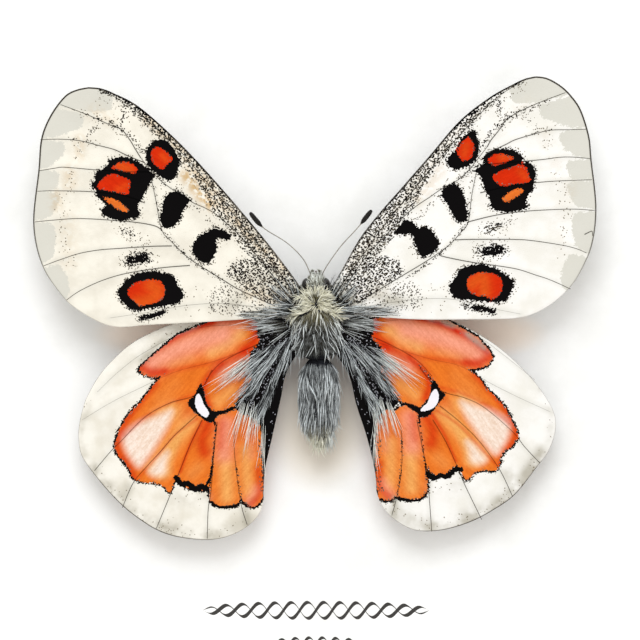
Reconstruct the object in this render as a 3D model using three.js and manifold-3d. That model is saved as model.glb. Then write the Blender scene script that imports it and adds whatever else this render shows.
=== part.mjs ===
// A spread apollo butterfly on its white mounting board, lying face up.
// Millimetres, +Z up. +Y points from the tail to the head and +X to the right.
// The origin is the centre of the board's underside.
//
// The insect hangs clear of the board on a short headless pin that ends inside the
// thorax. Each wing is one thin blade, stretched between four measured edges.
import * as THREE from "three";
import { mergeVertices } from "three/addons/utils/BufferGeometryUtils.js";
import Module from "manifold-3d";

const wasm = await Module();
wasm.setup();

// Driving dimensions
const board = { width: 100, depth: 100, thick: 5, corner: 1.2, bevel: 0.25 };
const pin = { radius: 0.25, hole: 0.3, inBoard: 3.2, inBody: 2.2, y: 0.6 };
const seam = 0.12; // gap left between two pieces that touch
const bladeThick = 0.3;
const boardTop = board.thick;

// The body lies along Y. x is its middle line, z its height over the floor.
const thorax = { x: -0.5, front: 4.4, back: -5.0, halfWidth: 3.45, z: 9.15, up: 2.95, down: 2.7, blunt: 2.6 };
const abdomen = { front: -4.2, back: -15.0, halfWidth: 2.95, up: 2.5, down: 2.35, blunt: 2.4 };
const abdomenLine = { xFront: -0.35, xBack: 0.1, zFront: 9.0, zBack: 8.35 };
const tailTuft = { x: 0.2, front: -12, back: -17, halfWidth: 1.75, z: 8.3, up: 1.1, down: 1.1, blunt: 2.2 };
const head = { x: -0.5, front: 5.9, back: 2.9, halfWidth: 1.6, z: 9.0, up: 1.4, down: 1.3, blunt: 2.2 };
const eye = { radius: 0.85, out: 1.25, y: 4.55, z: 9.0 };

// Each wing's four edges, as points that a smooth curve passes through.
// costa and inner run from the body outwards, termen from the costa's tip to the inner edge's tip.
const wingEdges = {
  forewing_left: {
    costa: [[-1.6, 2.6], [-3.7, 5.7], [-7.5, 10.6], [-12.5, 16.5], [-17.5, 21.9], [-22.5, 26.4],
      [-25.6, 28.15], [-28.9, 28.95]],
    termen: [[-28.9, 28.95], [-31.3, 27.9], [-33.6, 25.3], [-34.9, 22.2], [-35.05, 18.7], [-35.7, 12],
      [-34.6, 6.8], [-31.6, 2.5], [-28.6, 0.15], [-25.2, -1]],
    inner: [[-2.2, 0.9], [-7.5, 0.3], [-12.5, -0.1], [-18, -0.45], [-25.2, -1]],
  },
  forewing_right: {
    costa: [[0.6, 2.6], [2.6, 5.8], [5, 10], [7.5, 13.25], [10, 16.1], [13.75, 20.4], [17.5, 24.75],
      [21.25, 27.9], [26.9, 30.3]],
    termen: [[26.9, 30.3], [30.6, 28.5], [32.5, 26.1], [33.5, 22.9], [33.8, 20], [34.4, 14.2], [34, 9.9],
      [31.25, 4], [28, 1.4], [24, 0.3]],
    inner: [[1.2, 0.9], [7.5, 0.4], [12.5, 0.1], [18.75, 0.05], [24, 0.3]],
  },
  hindwing_left: {
    costa: [[-1.8, -0.9], [-6.9, 0.9], [-11.2, 1.1], [-15.6, -0.1], [-19.4, -1.9], [-22.5, -3.6],
      [-25.6, -6], [-27.9, -8.5]],
    termen: [[-27.9, -8.5], [-29.5, -11], [-30.2, -14.2], [-29.9, -17], [-26, -22.1], [-20.4, -26.2],
      [-14.1, -27.4], [-11, -26.7], [-8.7, -25.2], [-7.1, -22.7]],
    inner: [[-1.6, -2.4], [-4.1, -6.2], [-5, -10], [-6, -14.5], [-6.9, -18.5], [-7.1, -22.7]],
  },
  hindwing_right: {
    costa: [[0.8, -0.9], [6.2, 1], [10.6, 1.4], [14.6, 0.4], [17.9, -0.75], [23.1, -3.4], [25.6, -5.5],
      [27.6, -7.9]],
    termen: [[27.6, -7.9], [29, -10.2], [29.6, -13], [29.1, -15.6], [24.4, -21.9], [20.6, -24.7],
      [13.5, -26.5], [10.4, -25.5], [8.1, -23.6], [7.1, -21.2]],
    inner: [[0.6, -2.4], [3.5, -6.5], [4.6, -10.6], [5.9, -14.6], [6.75, -18.1], [7.1, -21.2]],
  },
};

// How high each blade lies over the floor: at its root, at its tip and along its inner edge.
const bladeHeight = {
  forewing: { root: 10.5, tip: 0.6, inner: -0.35 },
  hindwing: { root: 9.55, tip: -0.75, inner: -0.15 },
};

// The mat of hair on top of each wing next to the body: its depth, how far out along the wing
// it reaches, and the share of the wing's width left bare along the costa
const furPad = {
  forewing: { deep: 0.3, reach: 0.45, bare: 0 },
  hindwing: { deep: 0.55, reach: 0.45, bare: 0.3 },
};

const finish = {
  board: [0xf6f5f0, 0.9],
  wingWhite: [0xece8da, 0.75],
  wingOrange: [0xe8722a, 0.75],
  greyFur: [0x6f757c, 0.95],
  creamFur: [0xd8d2ac, 0.95],
  eye: [0x1d1b1a, 0.25],
  horn: [0x1a1816, 0.6],
  leg: [0x55504a, 0.8],
};

function paint([color, roughness], metalness = 0) {
  return new THREE.MeshStandardMaterial({ color, roughness, metalness });
}

const smooth = (x) => THREE.MathUtils.smoothstep(x, 0, 1);

// A geometry whose every vertex is carried to a new place.
function carried(geometry, place) {
  const at = geometry.attributes.position;
  const point = new THREE.Vector3();
  for (let i = 0; i < at.count; i += 1) {
    place(point.fromBufferAttribute(at, i));
    at.setXYZ(i, point.x, point.y, point.z);
  }
  return geometry;
}

// Geometry to solid, with shared vertices merged.
function solid(geometry) {
  const bare = geometry.clone();
  bare.deleteAttribute("normal");
  bare.deleteAttribute("uv");
  const merged = mergeVertices(bare, 1e-4);
  return new wasm.Manifold(
    new wasm.Mesh({
      numProp: 3,
      vertProperties: merged.attributes.position.array,
      triVerts: new Uint32Array(merged.index.array),
    }),
  );
}

function geometryOf(made) {
  const mesh = made.getMesh();
  const geometry = new THREE.BufferGeometry();
  geometry.setAttribute("position", new THREE.BufferAttribute(mesh.vertProperties, 3));
  geometry.setIndex(new THREE.BufferAttribute(mesh.triVerts, 1));
  geometry.computeVertexNormals();
  return geometry;
}

// A rounded body along Y: a sphere stretched to the given box, with ends as blunt as asked.
// shape maps the way from tail (0) to front (1) to a share of the full girth, line to the
// middle line's x and z, and locks ruffles the surface like tufts of hair.
function furBody(size, across, along, options) {
  const { grow = 0, locks = 0, lockCount = 9, shape = null, line = null } = options;
  const middle = (size.front + size.back) / 2;
  const half = (size.front - size.back) / 2 + grow;
  const sphere = new THREE.SphereGeometry(1, across, along);
  return carried(sphere, (p) => {
    const way = (p.y + 1) / 2;
    const around = Math.atan2(p.z, p.x);
    const ring = Math.hypot(p.x, p.z);
    const fuller = ring > 1e-6 ? (1 - Math.abs(p.y) ** size.blunt) ** (1 / size.blunt) / ring : 1;
    const girth = (shape ? shape(way) : 1) * fuller;
    const ruffle = 1 + locks * Math.sin(lockCount * around + 5 * p.y) * Math.sin(9 * p.y + 2 * around) * ring;
    const side = (size.halfWidth + grow) * girth * ruffle;
    const tall = (p.z > 0 ? size.up : size.down) * girth * ruffle + grow;
    const x = line ? line.x(way) : size.x;
    const z = line ? line.z(way) : size.z;
    p.set(x + p.x * side, middle + p.y * half, z + p.z * tall);
  });
}

// A tapering round rod carried along a curve. radiusAt maps 0..1 along the curve to a radius.
function rod(curve, radiusAt, sides, steps) {
  const frames = curve.computeFrenetFrames(steps, false);
  const cylinder = new THREE.CylinderGeometry(1, 1, 1, sides, steps);
  return carried(cylinder, (p) => {
    const way = THREE.MathUtils.clamp(p.y + 0.5, 0, 1);
    const step = Math.round(way * steps);
    const centre = curve.getPointAt(way);
    const radius = radiusAt(way);
    // binormal before normal keeps the faces outwards
    const across = frames.binormals[step].clone().multiplyScalar(p.x * radius);
    const upward = frames.normals[step].clone().multiplyScalar(p.z * radius);
    p.copy(centre).add(across).add(upward);
  });
}

// A smooth curve through the points. A low tension keeps its bends tight.
function through(points, tension = 0.5) {
  const places = points.map((p) => new THREE.Vector3(...p));
  return new THREE.CatmullRomCurve3(places, false, tension < 0.5 ? "catmullrom" : "centripetal", tension);
}

// Point of a wing's plan at (u, v): u runs from root to tip, v from the costa to the inner edge.
// It is the usual four-edged patch: two pairs of facing edges blended, less their corners.
function planOf(edges) {
  const curve = (points) => new THREE.SplineCurve(points.map((p) => new THREE.Vector2(...p)));
  const costa = curve(edges.costa);
  const termen = curve(edges.termen);
  const inner = curve(edges.inner);
  const rootFront = costa.getPoint(0);
  const rootBack = inner.getPoint(0);
  const tipFront = termen.getPoint(0);
  const tipBack = termen.getPoint(1);
  return (u, v) => {
    const front = costa.getPointAt(u);
    const back = inner.getPointAt(u);
    const root = rootFront.clone().lerp(rootBack, v);
    const tip = termen.getPointAt(v);
    const acrossWing = front.lerp(back, v);
    const alongWing = root.lerp(tip, u);
    const corners = rootFront.clone().lerp(rootBack, v).lerp(tipFront.clone().lerp(tipBack, v), u);
    return acrossWing.add(alongWing).sub(corners);
  };
}

// A wing blade: a flat block of cells bent to the plan, lifted to its height, with the hair mat on top.
function blade(name, cellsAlong, cellsAcross) {
  const kind = name.split("_")[0];
  const plan = planOf(wingEdges[name]);
  const height = bladeHeight[kind];
  const pad = furPad[kind];
  const half = bladeThick / 2;
  const turned = name.endsWith("left") ? 1 : -1; // keeps the faces outwards on both sides
  const block = new THREE.BoxGeometry(1, 1, 1, cellsAlong, cellsAcross, 1);
  return carried(block, (p) => {
    const u = p.x + 0.5;
    const v = 0.5 + turned * p.y;
    const at = plan(u, v);
    const lift = height.root + height.tip * u ** 1.5 + height.inner * u * v * v;
    const furred = pad.bare > 0 ? smooth((v - pad.bare) / 0.4) : 1;
    const mat = pad.deep * furred * smooth(1 - u / pad.reach) * smooth(u * 12);
    p.set(at.x, at.y, lift + (p.z > 0 ? half + mat : -half));
  });
}

// The rounded board, with a blind hole for the pin
function boardSolid() {
  const w = board.width / 2 - board.bevel;
  const d = board.depth / 2 - board.bevel;
  const r = board.corner;
  const outline = new THREE.Shape();
  outline.moveTo(-w + r, -d);
  outline.lineTo(w - r, -d);
  outline.absarc(w - r, -d + r, r, -Math.PI / 2, 0, false);
  outline.lineTo(w, d - r);
  outline.absarc(w - r, d - r, r, 0, Math.PI / 2, false);
  outline.lineTo(-w + r, d);
  outline.absarc(-w + r, d - r, r, Math.PI / 2, Math.PI, false);
  outline.lineTo(-w, -d + r);
  outline.absarc(-w + r, -d + r, r, Math.PI, 1.5 * Math.PI, false);
  const slab = new THREE.ExtrudeGeometry(outline, {
    depth: board.thick - 2 * board.bevel,
    bevelSize: board.bevel,
    bevelThickness: board.bevel,
    bevelSegments: 1,
    curveSegments: 4,
  }).translate(0, 0, board.bevel);
  return solid(slab).subtract(solid(pinRod(pin.hole, boardTop - pin.inBoard - seam, boardTop + 1)));
}

function pinRod(radius, bottom, top) {
  const rodShape = new THREE.CylinderGeometry(radius, radius, top - bottom, 12);
  return rodShape.rotateX(Math.PI / 2).translate(thorax.x, pin.y, (top + bottom) / 2);
}

const pinTop = thorax.z - thorax.down + pin.inBody;

// Girth of each body part along its length, tail to front
const thoraxGirth = (way) => 0.84 + 0.16 * smooth(way * 1.4);
const abdomenGirth = (way) => 0.6 + 0.4 * smooth(way * 2.1);
const abdomenPath = {
  x: (way) => THREE.MathUtils.lerp(abdomenLine.xBack, abdomenLine.xFront, way),
  z: (way) => THREE.MathUtils.lerp(abdomenLine.zBack, abdomenLine.zFront, way),
};

const thoraxShape = (grow) => furBody(thorax, 26, 18, { grow, locks: 0.06, shape: thoraxGirth });
const abdomenShape = (grow) =>
  furBody(abdomen, 24, 18, { grow, locks: 0.06, lockCount: 8, shape: abdomenGirth, line: abdomenPath });
const headShape = (grow) => furBody(head, 16, 12, { grow, locks: 0.04, lockCount: 7 });
const tuftShape = () => furBody(tailTuft, 14, 10, { locks: 0.1, lockCount: 5 });

function eyeShape(side, grow) {
  const ball = new THREE.SphereGeometry(eye.radius + grow, 12, 8);
  return ball.scale(0.8, 1, 1).translate(head.x + side * eye.out, eye.y, eye.z);
}

// Feelers: a thin ringed shaft that swells to a flattened club
const feelerPath = {
  left: [[-1.15, 5.6, 9.6], [-2.1, 7.6, 10.6], [-4.1, 9.6, 11.4], [-7, 11.45, 12.1], [-8.75, 13.4, 12.4]],
  right: [[0.2, 5.6, 9.6], [0.95, 6.9, 10.6], [2.6, 9.2, 11.4], [4.7, 11.5, 12.1], [6.45, 13.7, 12.4]],
};
const feelerShaft = 0.09;
const feelerClub = 0.3;

function feeler(side) {
  const club = (way) => smooth((way - 0.76) / 0.1) * Math.sqrt(Math.max(0, 1 - ((way - 0.9) / 0.115) ** 2));
  const radius = (way) => feelerShaft + (feelerClub - feelerShaft) * club(way);
  return rod(through(feelerPath[side]), radius, 6, 22);
}

// Palps: two short furred feelers of the mouth, pointing forwards between the eyes
const palpRadius = 0.3;

function palp(side) {
  const x = head.x + side * 0.42;
  const path = [[x, 5.75, 8.2], [x + side * 0.06, 6.1, 8.9], [x + side * 0.1, 6.3, 9.6]];
  return rod(through(path), (way) => palpRadius * (1 - 0.55 * way), 6, 4);
}

// The sucking tongue, coiled in the middle plane under the head
const coil = { y: 5.4, z: 6.8, outer: 0.78, inner: 0.22, turns: 2.25, rootRadius: 0.1, tipRadius: 0.06 };

function tongue() {
  const points = [];
  const marks = 26;
  for (let i = 0; i <= marks; i += 1) {
    const way = i / marks;
    const angle = Math.PI * (0.5 - 2 * coil.turns * way);
    const radius = THREE.MathUtils.lerp(coil.outer, coil.inner, way);
    points.push([head.x, coil.y + radius * Math.cos(angle), coil.z + radius * Math.sin(angle)]);
  }
  return rod(through(points), (way) => THREE.MathUtils.lerp(coil.rootRadius, coil.tipRadius, way), 5, 26);
}

// Three pairs of legs, folded flat under the thorax. Each joint is [out from the middle line, y].
const legPairs = {
  front: { hip: [0.85, 3.1], knee: [1.9, 4.3], ankle: [1.2, 1.9], toe: [1.0, 0.4] },
  middle: { hip: [1.5, 1.0], knee: [2.7, 1.7], ankle: [2.2, -1.3], toe: [1.8, -2.9] },
  hind: { hip: [0.75, -1.0], knee: [1.4, 0.0], ankle: [0.9, -3.6], toe: [0.7, -5.6] },
};
const legLevel = { hip: 6.1, knee: 5.85, ankle: 5.5, toe: 5.35 };
const legRadius = 0.19;

function leg(side, pair) {
  const spot = legPairs[pair];
  const points = Object.keys(spot).map((joint) => {
    const [out, y] = spot[joint];
    return [thorax.x + side * out, y, legLevel[joint]];
  });
  return rod(through(points, 0.25), (way) => legRadius * (1 - 0.55 * way), 5, 9);
}

// Solids, each cut back from the neighbour that it meets
const pinSolid = solid(pinRod(pin.radius, boardTop - pin.inBoard, pinTop));
const pinRoom = solid(pinRod(pin.hole, boardTop, pinTop + seam));
const thoraxGrown = solid(thoraxShape(seam));
const abdomenGrown = solid(abdomenShape(seam));
const eyes = { left: solid(eyeShape(-1, 0)), right: solid(eyeShape(1, 0)) };
const eyeRoom = solid(eyeShape(-1, seam)).add(solid(eyeShape(1, seam)));
const headSolid = solid(headShape(0)).subtract(thoraxGrown).subtract(eyeRoom);
const thoraxSolid = solid(thoraxShape(0)).subtract(eyeRoom).subtract(pinRoom);
const abdomenSolid = solid(abdomenShape(0)).add(solid(tuftShape())).subtract(thoraxGrown);

const butterfly = new THREE.Group();

function place(name, made, material) {
  const mesh = new THREE.Mesh(geometryOf(made), material);
  mesh.name = name;
  butterfly.add(mesh);
}

const largest = (made) => made.decompose().sort((a, b) => b.volume() - a.volume())[0];

place("mounting_board", boardSolid(), paint(finish.board));
place("mounting_pin", pinSolid, paint([0x9a9ca0, 0.35], 1));
place("thorax", thoraxSolid, paint(finish.greyFur));
place("head", largest(headSolid), paint(finish.creamFur));
place("abdomen", largest(abdomenSolid), paint(finish.greyFur));
place("tongue", solid(tongue()), paint(finish.horn));

for (const [side, sign] of [["left", -1], ["right", 1]]) {
  place(`forewing_${side}`, largest(solid(blade(`forewing_${side}`, 17, 13)).subtract(thoraxGrown)),
    paint(finish.wingWhite));
  place(`hindwing_${side}`,
    largest(solid(blade(`hindwing_${side}`, 16, 14)).subtract(thoraxGrown).subtract(abdomenGrown)),
    paint(finish.wingOrange));
  place(`eye_${side}`, eyes[side], paint(finish.eye));
  place(`antenna_${side}`, solid(feeler(side)).subtract(solid(headShape(seam))), paint(finish.horn));
  place(`palp_${side}`, solid(palp(sign)).subtract(solid(headShape(seam))), paint(finish.creamFur));
  for (const pair of Object.keys(legPairs)) {
    place(`${pair}_leg_${side}`, largest(solid(leg(sign, pair)).subtract(thoraxGrown)), paint(finish.leg));
  }
}

export default butterfly;
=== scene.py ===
# A spread apollo butterfly on its white mounting board.
# Metres, +Z up, +Y from the tail to the head, +X to the right. Shapes are worked out in
# millimetres and turned into metres when a piece is made.
import math
import bpy
import numpy as np
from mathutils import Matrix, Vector


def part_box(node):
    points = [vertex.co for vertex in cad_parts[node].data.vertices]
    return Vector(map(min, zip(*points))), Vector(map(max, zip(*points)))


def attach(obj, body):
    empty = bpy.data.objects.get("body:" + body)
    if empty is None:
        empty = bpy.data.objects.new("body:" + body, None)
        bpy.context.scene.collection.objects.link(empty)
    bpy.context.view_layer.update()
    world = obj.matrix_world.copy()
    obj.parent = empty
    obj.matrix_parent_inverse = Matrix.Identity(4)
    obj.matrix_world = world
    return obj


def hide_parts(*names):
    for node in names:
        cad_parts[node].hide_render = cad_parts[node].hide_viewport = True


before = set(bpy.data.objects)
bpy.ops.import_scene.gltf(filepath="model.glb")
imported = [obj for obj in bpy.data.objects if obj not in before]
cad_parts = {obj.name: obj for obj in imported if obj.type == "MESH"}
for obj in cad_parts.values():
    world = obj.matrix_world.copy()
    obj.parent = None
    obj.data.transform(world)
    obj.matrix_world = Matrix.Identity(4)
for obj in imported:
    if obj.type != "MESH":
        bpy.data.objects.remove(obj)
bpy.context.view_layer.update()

mm = 0.001
tiny = 1e-9  # keeps a divisor away from nought
photo = {"centre": 320.0, "pixelsPerMm": 8.0}  # markings are written in the photo's own pixels
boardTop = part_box("mounting_board")[1].z / mm

# How closely curves, outlines and strokes are followed, in steps, stroke widths and millimetres
tracing = {
    "finer": 4,  # a curve is worked out this many times finer before its places are spaced evenly
    "outlineSteps": 12, "stepsPerCorner": 5, "farthest": 1.2,
    "brushSteps": 24, "brushReach": 2.5, "brushCut": 0.002,
    "inkSteps": 40, "inkSoft": 0.16,
}


# A photo pixel to millimetres on the board: right of and above the picture's centre
def onBoard(pixels):
    spots = np.array(pixels, float)
    across = spots[..., 0] - photo["centre"]
    upward = photo["centre"] - spots[..., 1]
    return np.stack([across, upward], -1) / photo["pixelsPerMm"]


# 0 below low, 1 above high, and an easy s-curve between them
def ease(value, low=0.0, high=1.0):
    share = np.clip((value - low) / (high - low), 0, 1)
    return share * share * (3 - 2 * share)


# 0 below low, 1 above high, and a straight slope between them
def fade(value, low, high):
    return np.clip((value - low) / (high - low), 0, 1)


# Smooth curve through points: each stretch is the cubic whose slope at a point joins that
# point's two neighbours. It comes back as evenly spaced places along its length.
def curveThrough(points, steps, closed=False):
    points = np.array(points, float)
    stretches = len(points) if closed else len(points) - 1
    ends = (points[-1:], points[:2]) if closed else (points[:1], points[-1:])
    padded = np.concatenate([ends[0], points, ends[1]])
    way = np.linspace(0, stretches, steps * tracing["finer"])
    at = np.minimum(way.astype(int), stretches - 1)
    t = (way - at)[:, None]
    a, b, c, d = (padded[at + k] for k in range(4))
    curve = b + 0.5 * t * ((c - a) + t * ((2 * a - 5 * b + 4 * c - d) + t * (3 * (b - c) + d - a)))
    gone = np.concatenate([[0], np.cumsum(np.linalg.norm(np.diff(curve, axis=0), axis=1))])
    even = np.linspace(0, gone[-1], steps)
    return np.stack([np.interp(even, gone, curve[:, k]) for k in range(points.shape[1])], 1)


# Distance from each spot to the nearest place on a line of straight stretches, counted no
# further than a given reach
def distanceTo(spots, line, farthest):
    near = ((spots > line.min(0) - farthest) & (spots < line.max(0) + farthest)).all(1)
    start, step = line[:-1], np.diff(line, axis=0)
    reach = spots[near][:, None, :] - start[None]
    share = np.clip((reach * step).sum(2) / ((step ** 2).sum(1) + tiny), 0, 1)
    away = np.full(len(spots), float(farthest))
    away[near] = np.sqrt(((reach - share[..., None] * step) ** 2).sum(2).min(1))
    return np.minimum(away, farthest)


# Depth inside a closed outline: above 0 inside, below 0 outside. A spot is inside when a
# line from it to the right crosses the outline an odd number of times.
def depthInside(spots, outline):
    steps = tracing["outlineSteps"] + tracing["stepsPerCorner"] * len(outline)
    line = curveThrough(outline, steps, closed=True)
    away = distanceTo(spots, line, tracing["farthest"])
    near = ((spots > line.min(0)) & (spots < line.max(0))).all(1)
    x, y = spots[near, :1], spots[near, 1:]
    (x0, y0), (x1, y1) = line[:-1].T, line[1:].T
    rise = np.where(np.abs(y1 - y0) < tiny, tiny, y1 - y0)
    crossed = ((y0 > y) != (y1 > y)) & (x < (x1 - x0) * (y - y0) / rise + x0)
    inside = np.zeros(len(spots), bool)
    inside[near] = crossed.sum(1) % 2 == 1
    return np.where(inside, away, -away)


# The deepest of several outlines at each spot
def deepest(spots, outlines):
    return np.max([depthInside(spots, onBoard(outline)) for outline in outlines], 0)


# Soft brush strokes: each is full along its route and fades like a bell curve to the sides
def brushed(spots, strokes):
    left = np.ones(len(spots))
    for route, width, strength in strokes:
        line = onBoard(route)
        line = curveThrough(line, tracing["brushSteps"]) if len(line) > 2 else line
        wide = width / photo["pixelsPerMm"]
        away = distanceTo(spots, line, tracing["brushReach"] * wide) / wide
        left *= 1 - strength * np.clip(np.exp(-away ** 2) - tracing["brushCut"], 0, 1)
    return 1 - left


# Firm strokes, as of ink: full up to their half width, and gone a little beyond it
def inked(spots, strokes):
    most, soft = np.zeros(len(spots)), tracing["inkSoft"]
    for route, width, strength in strokes:
        line = curveThrough(onBoard(route), tracing["inkSteps"])
        wide = width / photo["pixelsPerMm"]
        away = distanceTo(spots, line, wide + 2 * soft) - wide
        most = np.maximum(most, strength * ease(-away, -soft, soft))
    return most


# The two sides aren't set quite alike: where the mirror stands, and how far the right wing is
# then turned, in degrees, and scaled about its root
rightSide = {
    "foreWing": {"mirror": 315.5, "root": (325, 300), "turn": 2.4, "scale": 1.0},
    "hindWing": {"mirror": 315.5, "root": (325, 310), "turn": 3.0, "scale": 0.975},
}


# A left wing's places carried to the right wing: mirrored about the body, then turned about
# the wing's root by the usual sine and cosine, and scaled from it
def toRight(kind, pixels):
    side = rightSide[kind]
    spots = np.array(pixels, float)
    turn = math.radians(side["turn"])
    across = 2 * side["mirror"] - spots[..., 0] - side["root"][0]
    down = spots[..., 1] - side["root"][1]
    x = side["root"][0] + side["scale"] * (across * math.cos(turn) + down * math.sin(turn))
    y = side["root"][1] + side["scale"] * (down * math.cos(turn) - across * math.sin(turn))
    return np.stack([x, y], -1)


# Outlines as they are on the left, or each carried to the right
def outlinesFor(kind, side, outlines):
    return outlines if side == "left" else [toRight(kind, outline) for outline in outlines]


# Strokes in the same way: only the route moves, and width and strength stay
def strokesFor(kind, side, strokes):
    routes = outlinesFor(kind, side, [route for route, width, strength in strokes])
    return [(route, width, strength) for route, (was, width, strength) in zip(routes, strokes)]


# Numbers each vertex of a rows by columns grid and lists its four-cornered faces
def gridFaces(rows, columns, first=0, closedAcross=False):
    index = first + np.arange(rows * columns).reshape(rows, columns)
    if closedAcross:
        index = np.concatenate([index, index[:, :1]], 1)
    return np.stack([index[:-1, :-1], index[1:, :-1], index[1:, 1:], index[:-1, 1:]], -1).reshape(-1, 4)


# Puts points in millimetres and lists of faces into a new mesh, with its named values
def makePiece(name, points, faces, finish, values=None, smooth=True):
    mesh = bpy.data.meshes.new(name)
    mesh.vertices.add(len(points))
    mesh.vertices.foreach_set("co", (points * mm).astype(np.float32).ravel())
    corners = np.concatenate([some.ravel() for some in faces]).astype(np.int32)
    sizes = np.concatenate([np.full(len(some), some.shape[1]) for some in faces])
    starts = np.concatenate([[0], np.cumsum(sizes)[:-1]]).astype(np.int32)
    mesh.loops.add(len(corners))
    mesh.loops.foreach_set("vertex_index", corners)
    mesh.polygons.add(len(sizes))
    mesh.polygons.foreach_set("loop_start", starts)
    mesh.polygons.foreach_set("use_smooth", np.full(len(sizes), smooth))
    mesh.update(calc_edges=True)
    for key, value in (values or {}).items():
        mesh.attributes.new(key, "FLOAT", "POINT").data.foreach_set("value", value.astype(np.float32))
    mesh.materials.append(finish)
    piece = bpy.data.objects.new(name, mesh)
    bpy.context.scene.collection.objects.link(piece)
    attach(piece, "root")
    return piece


# Hides the parts of the frame that a new piece takes the place of; its slot is not used
def standsFor(piece, slot, *nodes):
    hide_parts(*nodes)
    return piece


# Directions beside a path, for rings: one level and square to it, the other square to both
def beside(path):
    along = np.gradient(path, axis=0)
    along /= np.linalg.norm(along, axis=1, keepdims=True)
    level = np.cross(along, np.where(np.abs(along[:, 2:]) > 0.95, [[1, 0, 0]], [[0, 0, 1]]))
    level /= np.linalg.norm(level, axis=1, keepdims=True)
    return level, np.cross(level, along)


# A closed round rod: rings of the given radii square to the path, with a point at each end
def rodAlong(path, radius, sides, flat=1.0, first=0):
    level, upward = beside(path)
    angle = np.linspace(0, 2 * np.pi, sides, endpoint=False)
    spread = level[:, None] * np.cos(angle)[:, None] + flat * upward[:, None] * np.sin(angle)[:, None]
    rings = path[:, None] + np.asarray(radius)[:, None, None] * spread
    points = np.concatenate([rings.reshape(-1, 3), path[:1], path[-1:]])
    last = first + len(path) * sides
    near = first + np.arange(sides)
    far = near + (len(path) - 1) * sides
    caps = np.concatenate([
        np.stack([np.full(sides, last), np.roll(near, -1), near], 1),
        np.stack([np.full(sides, last + 1), far, np.roll(far, -1)], 1),
    ])
    return points, [gridFaces(len(path), sides, first, closedAcross=True), caps[:, ::-1]]


studioLight = np.array([1.33, 1.31, 1.27])  # how bright a white card is in this studio


# A colour as its three screen numbers, turned into light and divided by the studio's own
# brightness, so that it looks that way when lit. Where a surface lies in shade, it gets a
# lower share of that brightness.
def ink(red, green, blue, lit=1.0):
    share = np.array([red, green, blue]) / 255
    light = np.where(share < 0.04045, share / 12.92, ((share + 0.055) / 1.055) ** 2.4)
    return (*np.minimum(light / (studioLight * lit), 0.98).tolist(), 1.0)


# A new material with its shader: roughness and other even values go on the shader's own sockets
def newFinish(name, roughness, **uniform):
    finish = bpy.data.materials.new(name)
    finish.use_nodes = True
    shader = finish.node_tree.nodes["Principled BSDF"]
    shader.inputs["Roughness"].default_value = roughness
    for key, value in uniform.items():
        shader.inputs[key.replace("_", " ")].default_value = value
    return finish, finish.node_tree, shader


# One node: inputs by name or number, each a plain value or another node's output
def add(tree, kind, inputs, **settings):
    made = tree.nodes.new("ShaderNode" + kind)
    for key, value in settings.items():
        setattr(made, key, value)
    for key, value in inputs.items():
        if isinstance(value, bpy.types.NodeSocket):
            tree.links.new(value, made.inputs[key])
        else:
            made.inputs[key].default_value = value
    return made


# One sum of two values, such as a times b, cut to 0 to 1 when clamped
def maths(tree, operation, a, b=0.0, clamp=False):
    return add(tree, "Math", {0: a, 1: b}, operation=operation, use_clamp=clamp).outputs[0]


# a + b
def plus(tree, a, b):
    return maths(tree, "ADD", a, b)


# a times b
def times(tree, a, b):
    return maths(tree, "MULTIPLY", a, b)


# Two colours mixed: the first, and by the share as much of the second
def blend(tree, share, below, above):
    return add(tree, "Mix", {0: share, 6: below, 7: above}, data_type="RGBA").outputs[2]


# A colour multiplied by a tint, by the share
def tinted(tree, share, colour, tint):
    inputs = {0: share, 6: colour, 7: tint}
    return add(tree, "Mix", inputs, data_type="RGBA", blend_type="MULTIPLY").outputs[2]


# An easy s-curve from toLow, where the value is low, to toHigh, where it is high
def between(tree, value, low, high, toLow=0.0, toHigh=1.0):
    inputs = {"Value": value, "From Min": low, "From Max": high, "To Min": toLow, "To Max": toHigh}
    return add(tree, "MapRange", inputs, interpolation_type="SMOOTHSTEP").outputs[0]


# The value that a piece's vertices carry under this name, blended over each face
def value(tree, name):
    return add(tree, "Attribute", {}, attribute_name=name).outputs["Fac"]


# Object coordinates in millimetres
def place(tree):
    spot = add(tree, "TexCoord", {}).outputs["Object"]
    return add(tree, "Mapping", {"Vector": spot, "Scale": (1 / mm,) * 3}).outputs[0]


# Soft noise about a half, with so many waves to a millimetre
def cloud(tree, spot, scale, detail=3.0, roughness=0.55):
    inputs = {"Vector": spot, "Scale": scale, "Detail": detail, "Roughness": roughness}
    return add(tree, "TexNoise", inputs).outputs["Fac"]


# Wing scales as tiles: every tile has one random number from 0 to 1
def tiles(tree, spot, perMm):
    cells = add(tree, "TexVoronoi", {"Vector": spot, "Scale": perMm})
    split = add(tree, "SeparateColor", {0: cells.outputs["Color"]})
    return split.outputs[0], cells.outputs["Distance"]


# Low relief: the surface seems to rise by the depth where the height goes from 0 to 1
def bump(tree, shader, height, depthMm, strength=1.0):
    made = add(tree, "Bump", {"Height": height, "Distance": depthMm * mm, "Strength": strength})
    tree.links.new(made.outputs[0], shader.inputs["Normal"])


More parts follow.
